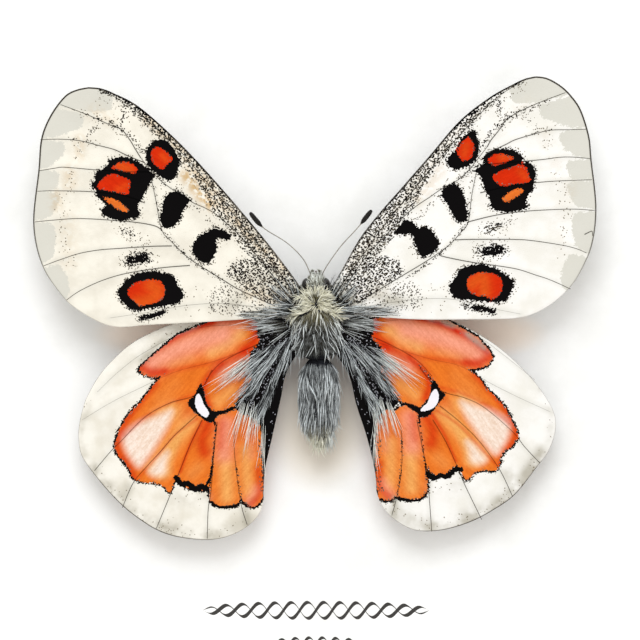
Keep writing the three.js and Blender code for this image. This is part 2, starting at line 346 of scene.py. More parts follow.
wingShape = {
    "along": 200,  # grid steps from root to tip
    "across": 170,  # grid steps from the front edge to the inner edge
    "thick": 0.13,
    "edgeThick": 0.05,
    "rimShare": 40,  # the skin is at its full thickness within one 40th of the wing from its edge
    "pleat": 0.1,  # how far the skin sinks between two veins
    "pleatReach": 1.6,
    "pleatStarts": (0.05, 0.3),  # shares of the way from root to tip
    "pleatEnds": (0, 0.1),
    "bend": 1.5,  # how late the blade leaves its root's height
    "wave": 0.07,  # the blade's slight waves: height, then turns across and along
    "waveTurns": (7, 3),
    "vein": 0.07,  # radius at the root end
    "veinTaper": 0.6,
    "veinSteps": 50,
    "veinTone": 0.84,
    "faint": 0.5,  # a faint vein's radius, as a share, and its tone
    "rodSides": 6,
    "rodFlat": 0.6,
    "paintedVeinShade": (-0.7, -0.05),  # the painted shade beside a vein fades over these distances
}

# How high each blade lies over the floor: at its root, at its tip and along its inner edge
wingHeight = {
    "foreWing": {"root": 10.5, "tip": 0.6, "inner": -0.35},
    "hindWing": {"root": 9.55, "tip": -0.75, "inner": -0.15},
}

# Each wing's front edge, outer edge and inner edge, as on the frame's blades
wingEdges = {
    "foreWingLeft": {
        "front": [[-1.6, 2.6], [-3.7, 5.7], [-7.5, 10.6], [-12.5, 16.5], [-17.5, 21.9], [-22.5, 26.4],
                  [-25.8, 28.2], [-27.4, 28.8], [-28.9, 28.95]],
        "outer": [[-28.9, 28.95], [-30.5, 28.6], [-31.9, 27.75], [-33.6, 25.4], [-34.7, 22.6], [-35.05, 18.7],
                  [-35.7, 12], [-34.6, 6.8], [-32.1, 3.0], [-30.4, 1.45], [-28.2, 0.1], [-26.6, -0.6],
                  [-25.2, -0.85]],
        "inner": [[-2.2, 0.9], [-7.5, 0.3], [-12.5, -0.1], [-18, -0.4], [-21.8, -0.6], [-23.6, -0.8],
                  [-25.2, -0.85]],
    },
    "foreWingRight": {
        "front": [[0.6, 2.6], [2.6, 5.8], [5, 10], [7.5, 13.25], [10, 16.1], [13.75, 20.4], [17.5, 24.75],
                  [21.25, 27.7], [24.2, 29.35], [25.6, 30.0], [26.9, 30.3]],
        "outer": [[26.9, 30.3], [28.3, 30.1], [30.0, 29.15], [31.3, 27.9], [32.5, 26.1], [33.5, 22.9], [33.8, 20],
                  [34.4, 14.2], [34, 9.9], [32.9, 6.9], [31.25, 4.2], [29.1, 2.2], [27.3, 1.1], [25.6, 0.45],
                  [24, 0.2]],
        "inner": [[1.2, 0.9], [7.5, 0.4], [12.5, 0.1], [18.75, 0.1], [21.5, 0.12], [24, 0.2]],
    },
    "hindWingLeft": {
        "front": [[-1.8, -0.9], [-6.9, 0.9], [-11.2, 1.2], [-15.6, 0.3], [-19.0, -0.7], [-22.3, -2.2],
                  [-24.4, -3.6], [-26.4, -5.5], [-27.3, -6.55], [-28.1, -7.7]],
        "outer": [[-28.1, -7.7], [-28.8, -8.95], [-29.5, -10.5], [-30.1, -13], [-30.2, -15], [-29.8, -17],
                  [-28.4, -19.1], [-26.4, -21.5], [-24.4, -23.5], [-22.3, -25.1], [-20.3, -26.3], [-17.9, -27.1],
                  [-14.6, -27.5], [-12.2, -27.25], [-10.1, -26.45], [-8.5, -25.3], [-7.5, -24.0], [-7.1, -22.7]],
        "inner": [[-1.6, -2.4], [-4.1, -6.2], [-5, -10], [-6, -14.5], [-6.9, -18.5], [-7.1, -21.0], [-7.1, -22.7]],
    },
    "hindWingRight": {
        "front": [[0.8, -0.9], [6.2, 1], [10.6, 1.4], [14.6, 0.5], [17.9, -0.75], [21.6, -2.9], [24.2, -5.0],
                  [26.0, -6.8], [26.8, -7.7], [27.5, -8.6]],
        "outer": [[27.5, -8.6], [28.2, -9.6], [29.1, -11.2], [29.5, -12.7], [29.35, -14.4], [28.5, -16.6],
                  [27.2, -18.3], [24.4, -21.8], [21.6, -23.8], [18.9, -25.2], [16.1, -26.1], [14, -26.4],
                  [12, -26.3], [10.3, -25.6], [8.6, -24.3], [7.6, -22.9], [7.1, -21.4]],
        "inner": [[0.6, -2.4], [3.5, -6.5], [4.6, -10.6], [5.9, -14.6], [6.75, -18.1], [7.05, -20], [7.1, -21.4]],
    },
}

# Veins, from the outer edge inwards
wingVeins = {
    "foreWingLeft": [
        [(61, 105), (85, 114), (100, 120.5), (112, 126), (122, 130), (130, 140), (136, 150), (141, 158)],
        [(41, 140), (60, 139.5), (80, 141), (100, 146), (115, 150), (128, 156), (145, 163)],
        [(40, 171), (55, 168.5), (65, 167.5), (95, 170), (130, 172), (150, 172)],
        [(38, 191.5), (55, 191), (93, 192), (125, 196), (145, 203)],
        [(35.5, 222), (70, 219), (90, 219), (120, 221), (140, 223), (155, 226), (162, 230)],
        [(44, 266), (60, 260), (80, 253.5), (100, 250), (120, 248.5), (150, 246.5), (172, 246)],
        [(67, 300), (80, 291), (100, 281.5), (120, 275), (140, 271), (165, 267.5), (190, 265.5)],
        [(150, 172), (156, 200), (162, 230), (172, 242), (190, 259), (220, 278), (240, 290), (275, 306)],
        [(141, 158), (160, 180), (190, 201), (205, 208), (218, 216), (240, 236), (262, 262), (290, 298)],
        [(100, 90), (125, 103), (150, 123), (180, 151), (210, 186), (240, 222), (270, 259), (296, 296)],
        [(110, 318), (150, 312), (190, 305), (230, 304), (280, 311)],
    ],
    "foreWingRight": [
        [(565, 93), (540, 102.5), (525, 109), (515, 114), (505, 121), (499, 130), (491, 140), (487, 147)],
        [(586, 129.5), (570, 130), (550, 130.5), (535, 134), (515, 140), (505, 145), (487, 153)],
        [(590, 159), (575, 157.5), (560, 157.5), (540, 160), (505, 163), (482, 165)],
        [(591.5, 180), (575, 180.5), (545, 182), (510, 186), (480, 193)],
        [(594.5, 211), (580, 209.5), (560, 209.5), (530, 211), (510, 213), (490, 216.5), (468, 222)],
        [(586, 253), (575, 248.5), (560, 245), (530, 240.5), (510, 239.5), (470, 239.5), (455, 240)],
        [(570, 289), (550, 280), (535, 275), (520, 270), (505, 267), (470, 262), (445, 257), (439, 255)],
        [(478, 165), (472, 193), (468, 222), (461, 232), (448, 246), (425, 262), (395, 280), (357, 303)],
        [(487, 147), (463, 176), (440, 190), (430, 197), (410, 211), (385, 236), (362, 262), (338, 298)],
        [(520, 83), (498, 97), (472, 122), (445, 152), (415, 188), (385, 224), (358, 262), (334, 296)],
        [(520, 314), (480, 306), (450, 299), (410, 300), (352, 309)],
        [(592, 236), (592, 233.5), (591.3, 231.3), (588, 232.6), (584, 234.6)],  # a short dark tear in the margin
    ],
    "hindWingLeft": [
        [(97, 392), (118, 372), (145, 352), (190, 330), (240, 325), (290, 330)],
        [(82, 420), (110, 403), (140, 388), (175, 372), (215, 361), (250, 348), (290, 334)],
        [(94, 471), (110, 452), (120, 442), (145, 417), (170, 403), (197, 394), (212, 370)],
        [(122, 508), (133, 483), (148, 465), (160, 452), (175, 435), (197, 415)],
        [(156, 529), (170, 495), (180, 470), (190, 445), (202, 420)],
        [(207, 539), (208, 510), (211, 490), (213, 460), (217, 422)],
        [(247, 525), (241, 505), (236, 470), (234, 440), (238, 415), (265, 375)],
        [(206, 380), (222, 362), (258, 344), (290, 330)],
    ],
    "hindWingRight": [
        [(535, 380), (500, 352), (480, 338), (450, 325), (400, 320), (345, 328)],
        [(553, 413), (520, 398), (490, 383), (460, 366), (430, 359), (395, 348), (345, 332)],
        [(540, 463), (525, 447), (513, 432), (485, 408), (465, 398), (440, 390), (420, 368)],
        [(513, 497), (500, 470), (480, 442), (460, 422), (440, 406)],
        [(482, 520), (465, 485), (458, 468), (446, 442), (433, 420)],
        [(432, 532), (429, 492), (427, 470), (423, 450), (417, 420)],
        [(392, 516), (397, 497), (401, 475), (402, 450), (398, 420), (370, 378)],
        [(432, 376), (414, 358), (380, 340), (345, 328)],
    ],
}
faintVeins = {"foreWingLeft": [10], "foreWingRight": [10], "hindWingLeft": [0, 1], "hindWingRight": [0, 1]}

# Black marks and the coloured cells inside them, read on each forewing by itself
foreMarks = {
    "left": {
        "black": [
            [(150, 145), (157, 140), (165, 140), (172, 145), (177, 153), (180, 162), (178, 172), (174, 180),
             (166, 180), (158, 175), (150, 168), (146, 160), (146, 152)],
            [(110, 160), (120, 157), (130, 158), (138, 162), (145, 166), (152, 172), (155, 177), (150, 183),
             (146, 192), (142, 200), (138, 206), (140, 213), (138, 218), (130, 219), (122, 221), (112, 219),
             (104, 216), (102, 210), (106, 205), (102, 202), (97, 196), (95, 190), (91, 185), (95, 180),
             (96, 173), (101, 170), (107, 165)],
            [(172, 192), (178, 191), (185, 195), (191, 200), (187, 206), (183, 212), (180, 220), (174, 226),
             (167, 229), (162, 226), (160, 219), (162, 210), (163, 202), (166, 196)],
            [(214, 228), (220, 229), (227, 232), (232, 235), (231, 238), (225, 240), (219, 238), (216, 243),
             (217, 250), (214, 257), (211, 262), (206, 264), (199, 261), (194, 255), (192, 249), (194, 243),
             (198, 237), (204, 233), (209, 231)],
            [(118, 291), (122, 285), (128, 279), (135, 274), (145, 272), (155, 271), (165, 273), (175, 277),
             (177, 284), (182, 290), (184, 296), (180, 302), (172, 305), (160, 307), (148, 309), (137, 311),
             (130, 309), (124, 304), (120, 299)],
        ],
        "red": [
            [(151, 152), (155, 147), (160, 147), (165, 150), (171, 155), (173, 160), (168, 165), (163, 170),
             (158, 168), (152, 162)],
            [(111, 168), (118, 163), (125, 161), (132, 163), (138, 169), (136, 174), (128, 173), (118, 171)],
            [(97, 188), (100, 181), (107, 175), (115, 174), (124, 177), (131, 181), (130, 190), (128, 195),
             (115, 193), (104, 191)],
            [(102, 197), (108, 197), (118, 200), (126, 206), (130, 212), (122, 212), (114, 208), (108, 203)],
            [(127, 292), (131, 285), (138, 281), (148, 279), (157, 279), (163, 283), (166, 289), (165, 297),
             (158, 303), (148, 305), (140, 307), (134, 302), (129, 297)],
        ],
        "warm": [([(152, 286), (158, 292), (150, 300), (138, 304)], 8, 0.85), ([(120, 166), (130, 170)], 5, 0.7),
                 ([(163, 156), (166, 160)], 4, 0.4), ([(118, 190), (126, 186)], 4, 0.35)],
        "cloudy": [([(120, 230), (132, 236), (142, 241)], 8, 0.24), ([(126, 231), (134, 236)], 5, 0.3),
                   ([(129, 261), (138, 259), (148, 257)], 9, 0.5), ([(133, 260), (144, 258)], 5.5, 0.9),
                   ([(140, 319), (152, 316), (164, 312)], 4.6, 0.6), ([(143, 318), (162, 313)], 2.6, 0.95)],
    },
    "right": {
        "black": [
            [(474, 131), (478, 140), (479, 150), (476, 160), (468, 166), (458, 170), (450, 168), (446, 162),
             (450, 155), (456, 150), (460, 140), (467, 133)],
            [(487, 153), (495, 150), (508, 149), (518, 153), (524, 158), (522, 162), (531, 163), (534, 168),
             (535, 176), (534, 184), (533, 190), (528, 196), (526, 203), (528, 208), (518, 211), (508, 213),
             (498, 211), (490, 207), (490, 200), (486, 192), (482, 184), (480, 176), (474, 172), (476, 168),
             (484, 163), (482, 158)],
            [(441, 195), (443, 189), (449, 185), (455, 184), (461, 189), (464, 196), (466, 205), (468, 214),
             (466, 221), (460, 222), (455, 220), (451, 212), (447, 204), (442, 198)],
            [(394, 233), (398, 228), (402, 222), (408, 220), (414, 223), (418, 228), (425, 227), (432, 231),
             (438, 240), (439, 244), (435, 251), (428, 256), (421, 257), (417, 250), (414, 243), (413, 237),
             (408, 234), (402, 235)],
            [(449, 290), (451, 283), (456, 276), (459, 270), (468, 266), (480, 264), (492, 267), (500, 271),
             (508, 276), (513, 281), (513, 288), (509, 296), (505, 301), (495, 303), (480, 301), (466, 300),
             (455, 298)],
        ],
        "red": [
            [(468, 136), (473, 142), (475, 150), (471, 158), (465, 162), (459, 159), (457, 152), (461, 143)],
            [(487, 160), (492, 155), (500, 153.5), (508, 155), (515, 158), (508, 162), (498, 166), (491, 166)],
            [(492, 176), (500, 171), (510, 167), (520, 164), (527, 168), (529, 175), (531, 181), (524, 184),
             (514, 185), (505, 187), (497, 184)],
            [(501, 200), (505, 194), (512, 190), (520, 188), (524, 191), (519, 196), (512, 200), (508, 203)],
            [(466, 281), (470, 275), (480, 272), (490, 272), (498, 275), (503, 282), (502, 291), (497, 298),
             (491, 300), (484, 297), (475, 296), (468, 291)],
        ],
        "warm": [([(472, 284), (482, 278), (484, 292)], 7, 0.8), ([(500, 158), (510, 157)], 4, 0.5),
                 ([(466, 146), (464, 154)], 4, 0.4), ([(520, 172), (526, 178)], 4, 0.35)],
        "cloudy": [([(482, 229), (493, 227), (508, 222)], 8, 0.3), ([(488, 229), (498, 226)], 5, 0.4),
                   ([(480, 252), (492, 251), (502, 249)], 9, 0.5), ([(486, 252), (498, 250)], 5.5, 0.9),
                   ([(464, 305), (478, 309), (494, 312)], 4.8, 0.6), ([(474, 307), (493, 311)], 2.8, 0.95)],
    },
}

# The rest of the forewing's pattern, read on the left and carried to the right
foreCover = {
    "glassy": [  # they run past the wing's edge
        [(58, 106), (50, 96), (72, 78), (100, 78), (113, 86), (113, 100), (111, 110), (100, 112), (86, 112),
         (74, 109)],
        [(58, 108), (75, 112), (83, 115), (84, 121), (81, 128), (70, 132), (62, 136), (50, 138), (28, 138),
         (30, 122), (44, 104)],
        [(28, 142), (62, 142), (65, 150), (62, 158), (55, 163), (50, 167), (28, 169)],
        [(28, 173), (54, 171), (60, 176), (58, 184), (54, 190), (26, 190)],
        [(26, 194), (56, 193), (60, 198), (58, 206), (55, 212), (48, 218), (24, 220)],
        [(24, 225), (50, 223), (56, 230), (57, 240), (55, 250), (54, 257), (43, 264), (32, 268), (26, 245)],
        [(38, 271), (58, 264), (64, 270), (68, 278), (70, 290), (68, 298), (60, 304), (46, 292), (34, 276)],
    ],
    "dusty": [  # chance of a dark scale: outline, chance
        ([(112, 84), (142, 98), (168, 116), (192, 142), (216, 170), (238, 198), (228, 196), (206, 172), (186, 152),
          (166, 136), (150, 124), (134, 110), (116, 96)], 0.66),
        ([(318, 278), (300, 286), (288, 298), (280, 308), (278, 324), (318, 324)], 0.86),
        ([(96, 80), (120, 88), (142, 98), (168, 116), (192, 142), (216, 170), (242, 202), (266, 232), (292, 262),
          (310, 288), (298, 300), (284, 292), (268, 278), (254, 262), (243, 250), (233, 238), (222, 222),
          (212, 210), (203, 193), (188, 172), (174, 156), (158, 139), (144, 125), (130, 112), (114, 98),
          (98, 92)], 0.52),
        ([(231, 264), (244, 258), (258, 262), (282, 286), (300, 300), (290, 308), (266, 303), (246, 291),
          (234, 282), (226, 274)], 0.5),
        ([(228, 284), (242, 291), (262, 303), (290, 310), (290, 320), (262, 318), (236, 316), (212, 312),
          (208, 300), (214, 288)], 0.3),
    ],
    "sprinkled": [  # loose dust along routes: route, width, chance
        ([(112, 124), (104, 122), (96, 119)], 4.5, 0.42), ([(98, 126), (92, 131), (88, 136)], 4, 0.32),
        ([(112, 122), (118, 128), (124, 132)], 5, 0.42), ([(124, 110), (124, 118), (119, 126)], 4, 0.42),
        ([(122, 128), (132, 138), (142, 152)], 3.5, 0.4), ([(74, 110), (86, 115), (100, 121)], 2.5, 0.34),
        ([(70, 139), (84, 141), (98, 145)], 2.6, 0.3), ([(76, 144), (79, 152), (78, 158)], 3.5, 0.22),
        ([(72, 172), (70, 182), (66, 196), (62, 206)], 4, 0.16),
        ([(62, 212), (62, 228), (66, 246), (70, 262)], 5, 0.12), ([(178, 186), (204, 216), (222, 232)], 3, 0.3),
        ([(150, 172), (166, 184)], 4, 0.4), ([(162, 230), (190, 259), (224, 282)], 2.2, 0.42),
        ([(152, 178), (157, 200), (161, 222)], 2.2, 0.3), ([(196, 292), (186, 300), (192, 312)], 6, 0.1),
        ([(222, 236), (218, 250), (208, 266)], 3, 0.14), ([(100, 100), (112, 102), (120, 108)], 3, 0.2),
    ],
    "smoky": [  # brown shade at the root: route, width, share
        ([(302, 303), (276, 302), (252, 301), (234, 304)], 7.5, 0.65), ([(296, 286), (280, 272)], 9, 0.5),
        ([(262, 284), (276, 294)], 9, 0.45),
    ],
    "ochre": [
        ([(146, 118), (170, 140), (192, 166), (220, 200), (250, 236), (284, 270)], 5.5, 0.45),
        ([(186, 176), (198, 192), (210, 205)], 6, 0.85), ([(80, 140), (80, 156)], 6, 0.3),
        ([(70, 172), (70, 184)], 7, 0.35), ([(57, 196), (57, 206)], 6, 0.35), ([(70, 220), (70, 262)], 10, 0.14),
        ([(95, 112), (110, 120)], 8, 0.2), ([(250, 292), (285, 300)], 9, 0.35),
    ],
}

# The hindwings' orange patches, the white crescent and its black surround
hindMarks = {
    "left": {
        "orange": [
            [(205, 323), (190, 329), (177, 335), (166, 344), (155, 353), (144, 363), (138, 370), (142, 374),
             (150, 377), (158, 377), (175, 372), (200, 368), (225, 364), (250, 352), (262, 340), (262, 324),
             (240, 316), (220, 317)],
            [(165, 374), (155, 383), (148, 392), (140, 402), (130, 412), (122, 424), (117, 435), (114, 448),
             (118, 456), (124, 463), (129, 470), (132, 478), (140, 482), (152, 483), (162, 486), (170, 493),
             (175, 481), (182, 486), (194, 490), (207, 489), (212, 470), (217, 440), (220, 418), (208, 412),
             (201, 400), (207, 380), (222, 360), (200, 360)],
            [(214, 414), (213, 440), (211, 470), (209, 495), (212, 504), (222, 507), (234, 507), (240, 501),
             (242, 490), (240, 465), (239, 440), (242, 414), (228, 408)],
            [(235, 414), (234, 445), (236, 470), (240, 490), (243, 503), (252, 508), (260, 503), (264, 490),
             (263, 470), (262, 445), (264, 420), (254, 405)],
            [(228, 356), (212, 366), (203, 382), (201, 396), (207, 407), (216, 412), (232, 408), (246, 396),
             (254, 378), (254, 358), (245, 350)],
        ],
        "crescent": [[(198, 393.5), (195, 399), (195.5, 407), (200, 414), (206, 417.5), (209, 413), (204, 405),
                      (201, 397)]],
        "surround": [[(201, 384), (204, 392), (206, 402), (210, 409), (216, 411), (224, 410), (233, 406.5),
                      (234, 409.5), (225, 413.5), (217, 416), (213, 422), (205, 421), (198, 415), (190, 408),
                      (188, 401), (194, 396), (197, 389)]],
        "ink": [  # black edges: route, half width, chance
            ([(176, 478), (181, 484), (188, 484), (195, 489.5), (201, 487), (206, 489)], 3.0, 1.0),
            ([(205, 487), (210, 478), (212, 466)], 1.5, 0.9),
            ([(137.5, 369), (142, 374.5), (150, 378), (160, 378)], 1.2, 0.9),
            ([(211, 502), (218, 507), (228, 507.5), (238, 505)], 1.6, 0.95),
            ([(243, 503), (252, 508.5), (260, 504)], 1.2, 0.85),
            ([(216, 424), (214, 445), (212, 470), (209, 492)], 0.7, 0.9),
            ([(236, 462), (238, 480), (241, 500)], 0.6, 0.8),
            ([(264, 425), (265, 450), (266, 475), (267, 494)], 1.6, 0.85), ([(214, 418), (214.5, 426)], 1.4, 0.8),
            ([(259, 422), (261, 445), (262, 470), (263, 490)], 3.2, 0.3),
        ],
    },
    "right": {
        "orange": [
            [(440, 318), (455, 324), (468, 331), (478, 337), (484, 344), (490, 351), (493, 358), (489, 365),
             (482, 368), (472, 369.5), (460, 370), (445, 368), (425, 366), (400, 360), (378, 350), (366, 338),
             (366, 324), (376, 318), (400, 315)],
            [(466, 368), (479, 378), (487, 388), (495, 396), (503, 404), (509, 413), (513, 422), (517, 430),
             (518, 438), (513, 446), (505, 452), (501, 458), (500, 465), (496, 471), (485, 471), (475, 473),
             (467, 481), (460, 470), (456, 466), (446, 474), (434, 475), (428, 468), (423, 450), (419, 422),
             (430, 412), (438, 398), (432, 380), (418, 362), (440, 362)],
            [(419, 412), (423, 445), (427, 468), (428, 490), (424, 497), (412, 500), (402, 500), (396, 494),
             (397, 470), (398, 445), (394, 414), (408, 405)],
            [(398, 414), (402, 445), (402, 470), (399, 494), (391, 501), (382, 501), (377, 494), (376, 480),
             (375, 460), (376, 435), (380, 412)],
            [(408, 355), (420, 366), (431, 380), (432, 392), (426, 402), (418, 408), (404, 404), (390, 392),
             (382, 375), (380, 358), (390, 350)],
        ],
        "crescent": [[(436, 389), (439, 397), (436.5, 405), (430, 410), (421.5, 411.5), (422, 408), (428, 402),
                      (431, 394)]],
        "surround": [[(434, 380), (438, 385), (441, 391), (445, 393), (444, 398), (439, 403), (435, 409),
                      (429, 416), (424, 417), (418, 414), (410, 408), (405, 405), (406, 402.5), (413, 405),
                      (420, 407), (427, 402), (430, 396), (431, 387)]],
        "ink": [
            ([(428, 474), (434, 479), (441, 475.5), (448, 477), (455, 470), (462, 470)], 2.4, 1.0),
            ([(419, 416), (420, 424)], 1.4, 0.8), ([(420, 422), (423, 445), (425.5, 466), (428, 488)], 0.7, 0.9),
            ([(402, 440), (401, 470), (397, 496)], 0.6, 0.8),
            ([(399, 498), (410, 501), (420, 500), (427, 494)], 1.5, 0.95),
            ([(380, 499), (388, 502), (396, 498)], 1.2, 0.85),
            ([(375, 430), (373, 455), (374, 478), (377, 494)], 1.5, 0.85),
            ([(489, 366), (480, 369), (470, 370)], 1.2, 0.9),
            ([(380, 426), (378, 450), (378, 474), (381, 490)], 3.2, 0.3),
        ],
    },
}

# The rest of the hindwing's pattern, read on the left and carried to the right
hindCover = {
    "base": [[(300, 312), (285, 317), (262, 319), (257, 330), (259, 343), (251, 351), (249, 362), (252, 376),
              (247, 390), (236, 403), (237, 411), (250, 417), (259, 424), (262, 440), (262, 460), (263, 480),
              (264, 498), (268, 498), (272, 470), (280, 440), (286, 400), (292, 370), (306, 340)]],
    "frost": [[(290, 336), (270, 342), (250, 350), (243, 360), (244, 376), (240, 394), (236, 404), (250, 410),
               (264, 404), (272, 384), (282, 362), (292, 348)]],
    "crimson": [
        ([(142, 362), (152, 352), (166, 342), (188, 330), (212, 322)], 4.2, 1.0),
        ([(256, 322), (255, 340), (244, 350)], 6, 0.85), ([(140, 368), (152, 372), (164, 371)], 5, 0.75),
        ([(212, 322), (245, 320)], 3, 0.5), ([(150, 376), (185, 368), (215, 362), (250, 349)], 3, 0.45),
        ([(155, 384), (132, 412), (119, 435), (117, 450), (126, 464), (134, 478)], 4.5, 0.7),
        # these three run along veins: the orange's own deeper red, and partly painted shade in the vein grooves
        ([(197, 394), (170, 403), (145, 417), (124, 436)], 2.2, 0.4),
        ([(197, 419), (175, 435), (158, 455), (140, 476)], 1.6, 0.45),
        ([(202, 422), (190, 445), (180, 472)], 1.8, 0.7),
        ([(222, 364), (208, 378), (203, 392), (208, 406)], 4.5, 0.8),
        ([(208, 424), (202, 440), (204, 452)], 7, 0.75), ([(222, 424), (220, 446)], 5, 0.4),
        ([(258, 470), (259, 494), (250, 505)], 4, 0.6), ([(246, 352), (228, 362)], 4, 0.5),
        ([(195, 405), (188, 415)], 8, 0.3),
    ],
    "rose": [
        ([(152, 362), (170, 352), (195, 342), (222, 334)], 12, 0.95), ([(225, 374), (246, 364)], 10, 0.75),
        ([(226, 425), (224, 455)], 9, 0.75), ([(250, 430), (251, 455)], 6, 0.3), ([(250, 501), (256, 490)], 6, 0.6),
        ([(240, 325), (222, 324)], 6, 0.6),
    ],
    # the orange's own lighter tone, and in the fan cells between the veins painted highlight
    "amber": [
        ([(212, 352), (226, 344), (240, 334)], 7, 0.85), ([(160, 366), (190, 358)], 5, 0.3),
        ([(172, 413), (158, 422), (145, 440)], 11, 0.9), ([(190, 422), (170, 446), (156, 468)], 8.5, 0.95),
        ([(218, 402), (232, 390)], 7, 0.6), ([(192, 474), (198, 468)], 7, 0.3), ([(226, 466), (227, 497)], 8, 0.9),
        ([(246, 450), (247, 478), (249, 492)], 7, 0.75), ([(175, 385), (160, 398)], 8, 0.15),
    ],
    "dust": [  # at the outer edge and the vein ends: route, width, chance
        ([(92, 468), (100, 479), (108, 488)], 5, 0.28), ([(114, 503), (126, 511), (136, 517)], 6, 0.28),
        ([(146, 526), (158, 528), (172, 532)], 5, 0.26), ([(200, 536), (210, 535)], 5, 0.2),
        ([(122, 498), (127, 488)], 5, 0.15), ([(97, 486), (140, 522), (205, 536), (248, 520)], 7, 0.15),
        ([(247, 524), (245, 508)], 3, 0.25), ([(84, 455), (81, 430), (88, 405)], 3, 0.12),
        ([(198, 324), (172, 334), (156, 347), (142, 360)], 3, 0.25),
        ([(180, 498), (204, 498)], 6, 0.1),
    ],
    # painted highlights in the orange fan cells: pale ones, then amber ones
    "paintedHighlightCells": [[(122, 437), (128, 430), (141, 422), (155, 417), (166, 412), (172, 411), (168, 424), (160, 438),
                   (150, 454), (139, 467), (131, 460), (125, 450)],
                  [(149, 472), (154, 464), (160, 457), (168, 452), (166, 462), (164, 473), (156, 476)]],
    "paintedAmberHighlightCells": [[(145, 468), (152, 458), (163, 444), (178, 428), (192, 414), (188, 430), (180, 446), (173, 462),
                    (170, 476), (158, 480)],
                   [(150, 412), (166, 403), (174, 400), (176, 405), (168, 416)]],
}


# Four-edged patch: the front edge blended into the inner edge, plus the root blended into
# the outer edge, less the blend of the four corners. u runs to the tip, v to the inner edge.
def wingPlan(edges, along, across):
    front = curveThrough(edges["front"], along + 1)[:, None]
    inner = curveThrough(edges["inner"], along + 1)[:, None]
    outer = curveThrough(edges["outer"], across + 1)[None]
    u = np.linspace(0, 1, along + 1)[:, None, None]
    v = np.linspace(0, 1, across + 1)[None, :, None]
    root = front[:1] * (1 - v) + inner[:1] * v
    corners = root * (1 - u) + (outer[:, :1] * (1 - v) + outer[:, -1:] * v) * u
    return front * (1 - v) + inner * v + root * (1 - u) + outer * u - corners, u[..., 0], v[..., 0]


# How the layers of the forewing's pattern come in. A pair is two depths inside an outline,
# from where the layer starts to where it is full; a single number is a share or a chance.
foreSoft = {
    "black": (-0.45, 0.32), "halo": (-0.85, -0.1), "haloChance": 0.2,
    "dusty": (-0.5, 0.4), "cloudyGain": 1.05, "cloudyLess": 0.06, "cloudyMost": 0.75,
    "red": (-0.1, 0.3), "redGrows": 0.22, "glassy": (-0.16, 0.2), "rightOchre": 0.3,
    "orangeCell": 3,  # the one cell that is orange rather than red
    "orange": (-0.2, 0.1), "amber": (-0.1, 0.3), "amberShare": 0.1,
    "crimson": 0.98, "orangeTakes": 0.8, "warmTakes": 0.5,
}


# The chance of a dark scale, the coloured cells and the tints, at every spot of a forewing.
# The chance is the largest that any layer gives, and a red cell takes it away.
def forePattern(side, spots):
    marks, soft = foreMarks[side], foreSoft
    black, red = deepest(spots, marks["black"]), deepest(spots, marks["red"])
    chance = np.maximum(fade(black, *soft["black"]), soft["haloChance"] * fade(black, *soft["halo"]) ** 2)
    for outline, most in foreCover["dusty"]:
        depth = deepest(spots, outlinesFor("foreWing", side, [outline]))
        chance = np.maximum(chance, most * ease(depth, *soft["dusty"]))
    cloudy = soft["cloudyGain"] * brushed(spots, marks["cloudy"]) - soft["cloudyLess"]
    chance = np.maximum(chance, np.clip(cloudy, 0, soft["cloudyMost"]))
    for route, width, most in strokesFor("foreWing", side, foreCover["sprinkled"]):
        chance = np.maximum(chance, most * brushed(spots, [(route, width, 1.0)]))
    chance = chance * (1 - fade(red, *soft["red"]))
    glassy = deepest(spots, outlinesFor("foreWing", side, foreCover["glassy"]))
    ochre = brushed(spots, strokesFor("foreWing", side, foreCover["ochre"]))
    orange = depthInside(spots, onBoard(marks["red"][soft["orangeCell"]]))
    crimson = soft["crimson"] - soft["orangeTakes"] * ease(orange, *soft["orange"])
    return {
        "dark": chance, "coloured": np.clip(red + soft["redGrows"], -1, 1),
        "glassy": fade(glassy, *soft["glassy"]),
        "ochre": ochre * (1.0 if side == "left" else soft["rightOchre"]),
        "amber": soft["amberShare"] * ease(orange, *soft["amber"]),
        "crimson": crimson * (1 - soft["warmTakes"] * brushed(spots, marks["warm"])),
        "rose": 0 * red, "pale": 0 * red, "white": 0 * red - 1, "frosty": 0 * red,
        "smoke": brushed(spots, strokesFor("foreWing", side, foreCover["smoky"])),
    }


# The same for the hindwing. Its orange patches have a black line round them, at a distance
# outside and as wide as given here, and its dust has a wider grey shade under it.
hindSoft = {
    "base": (-0.45, 0.35), "edgeChance": 0.82, "edgeOut": 0.09, "edgeWide": 0.19,
    "surround": (-0.16, 0.12), "dustShare": 0.4, "smokeWide": 1.3, "smokeShare": 2.2,
    "smokeGain": 1.3, "smokeMost": 0.8, "paintedHighlightCells": (-0.75, 0.75), "paintedHighlightMost": 0.95,
    "paintedAmberHighlightCells": (-0.6, 0.7), "orangeGrows": 0.05,
    "frost": (-0.3, 0.6), "frostShare": 0.3, "baseFrost": 0.06, "frontFrost": 0.16, "frontY": (-4.5, -2.5),
}


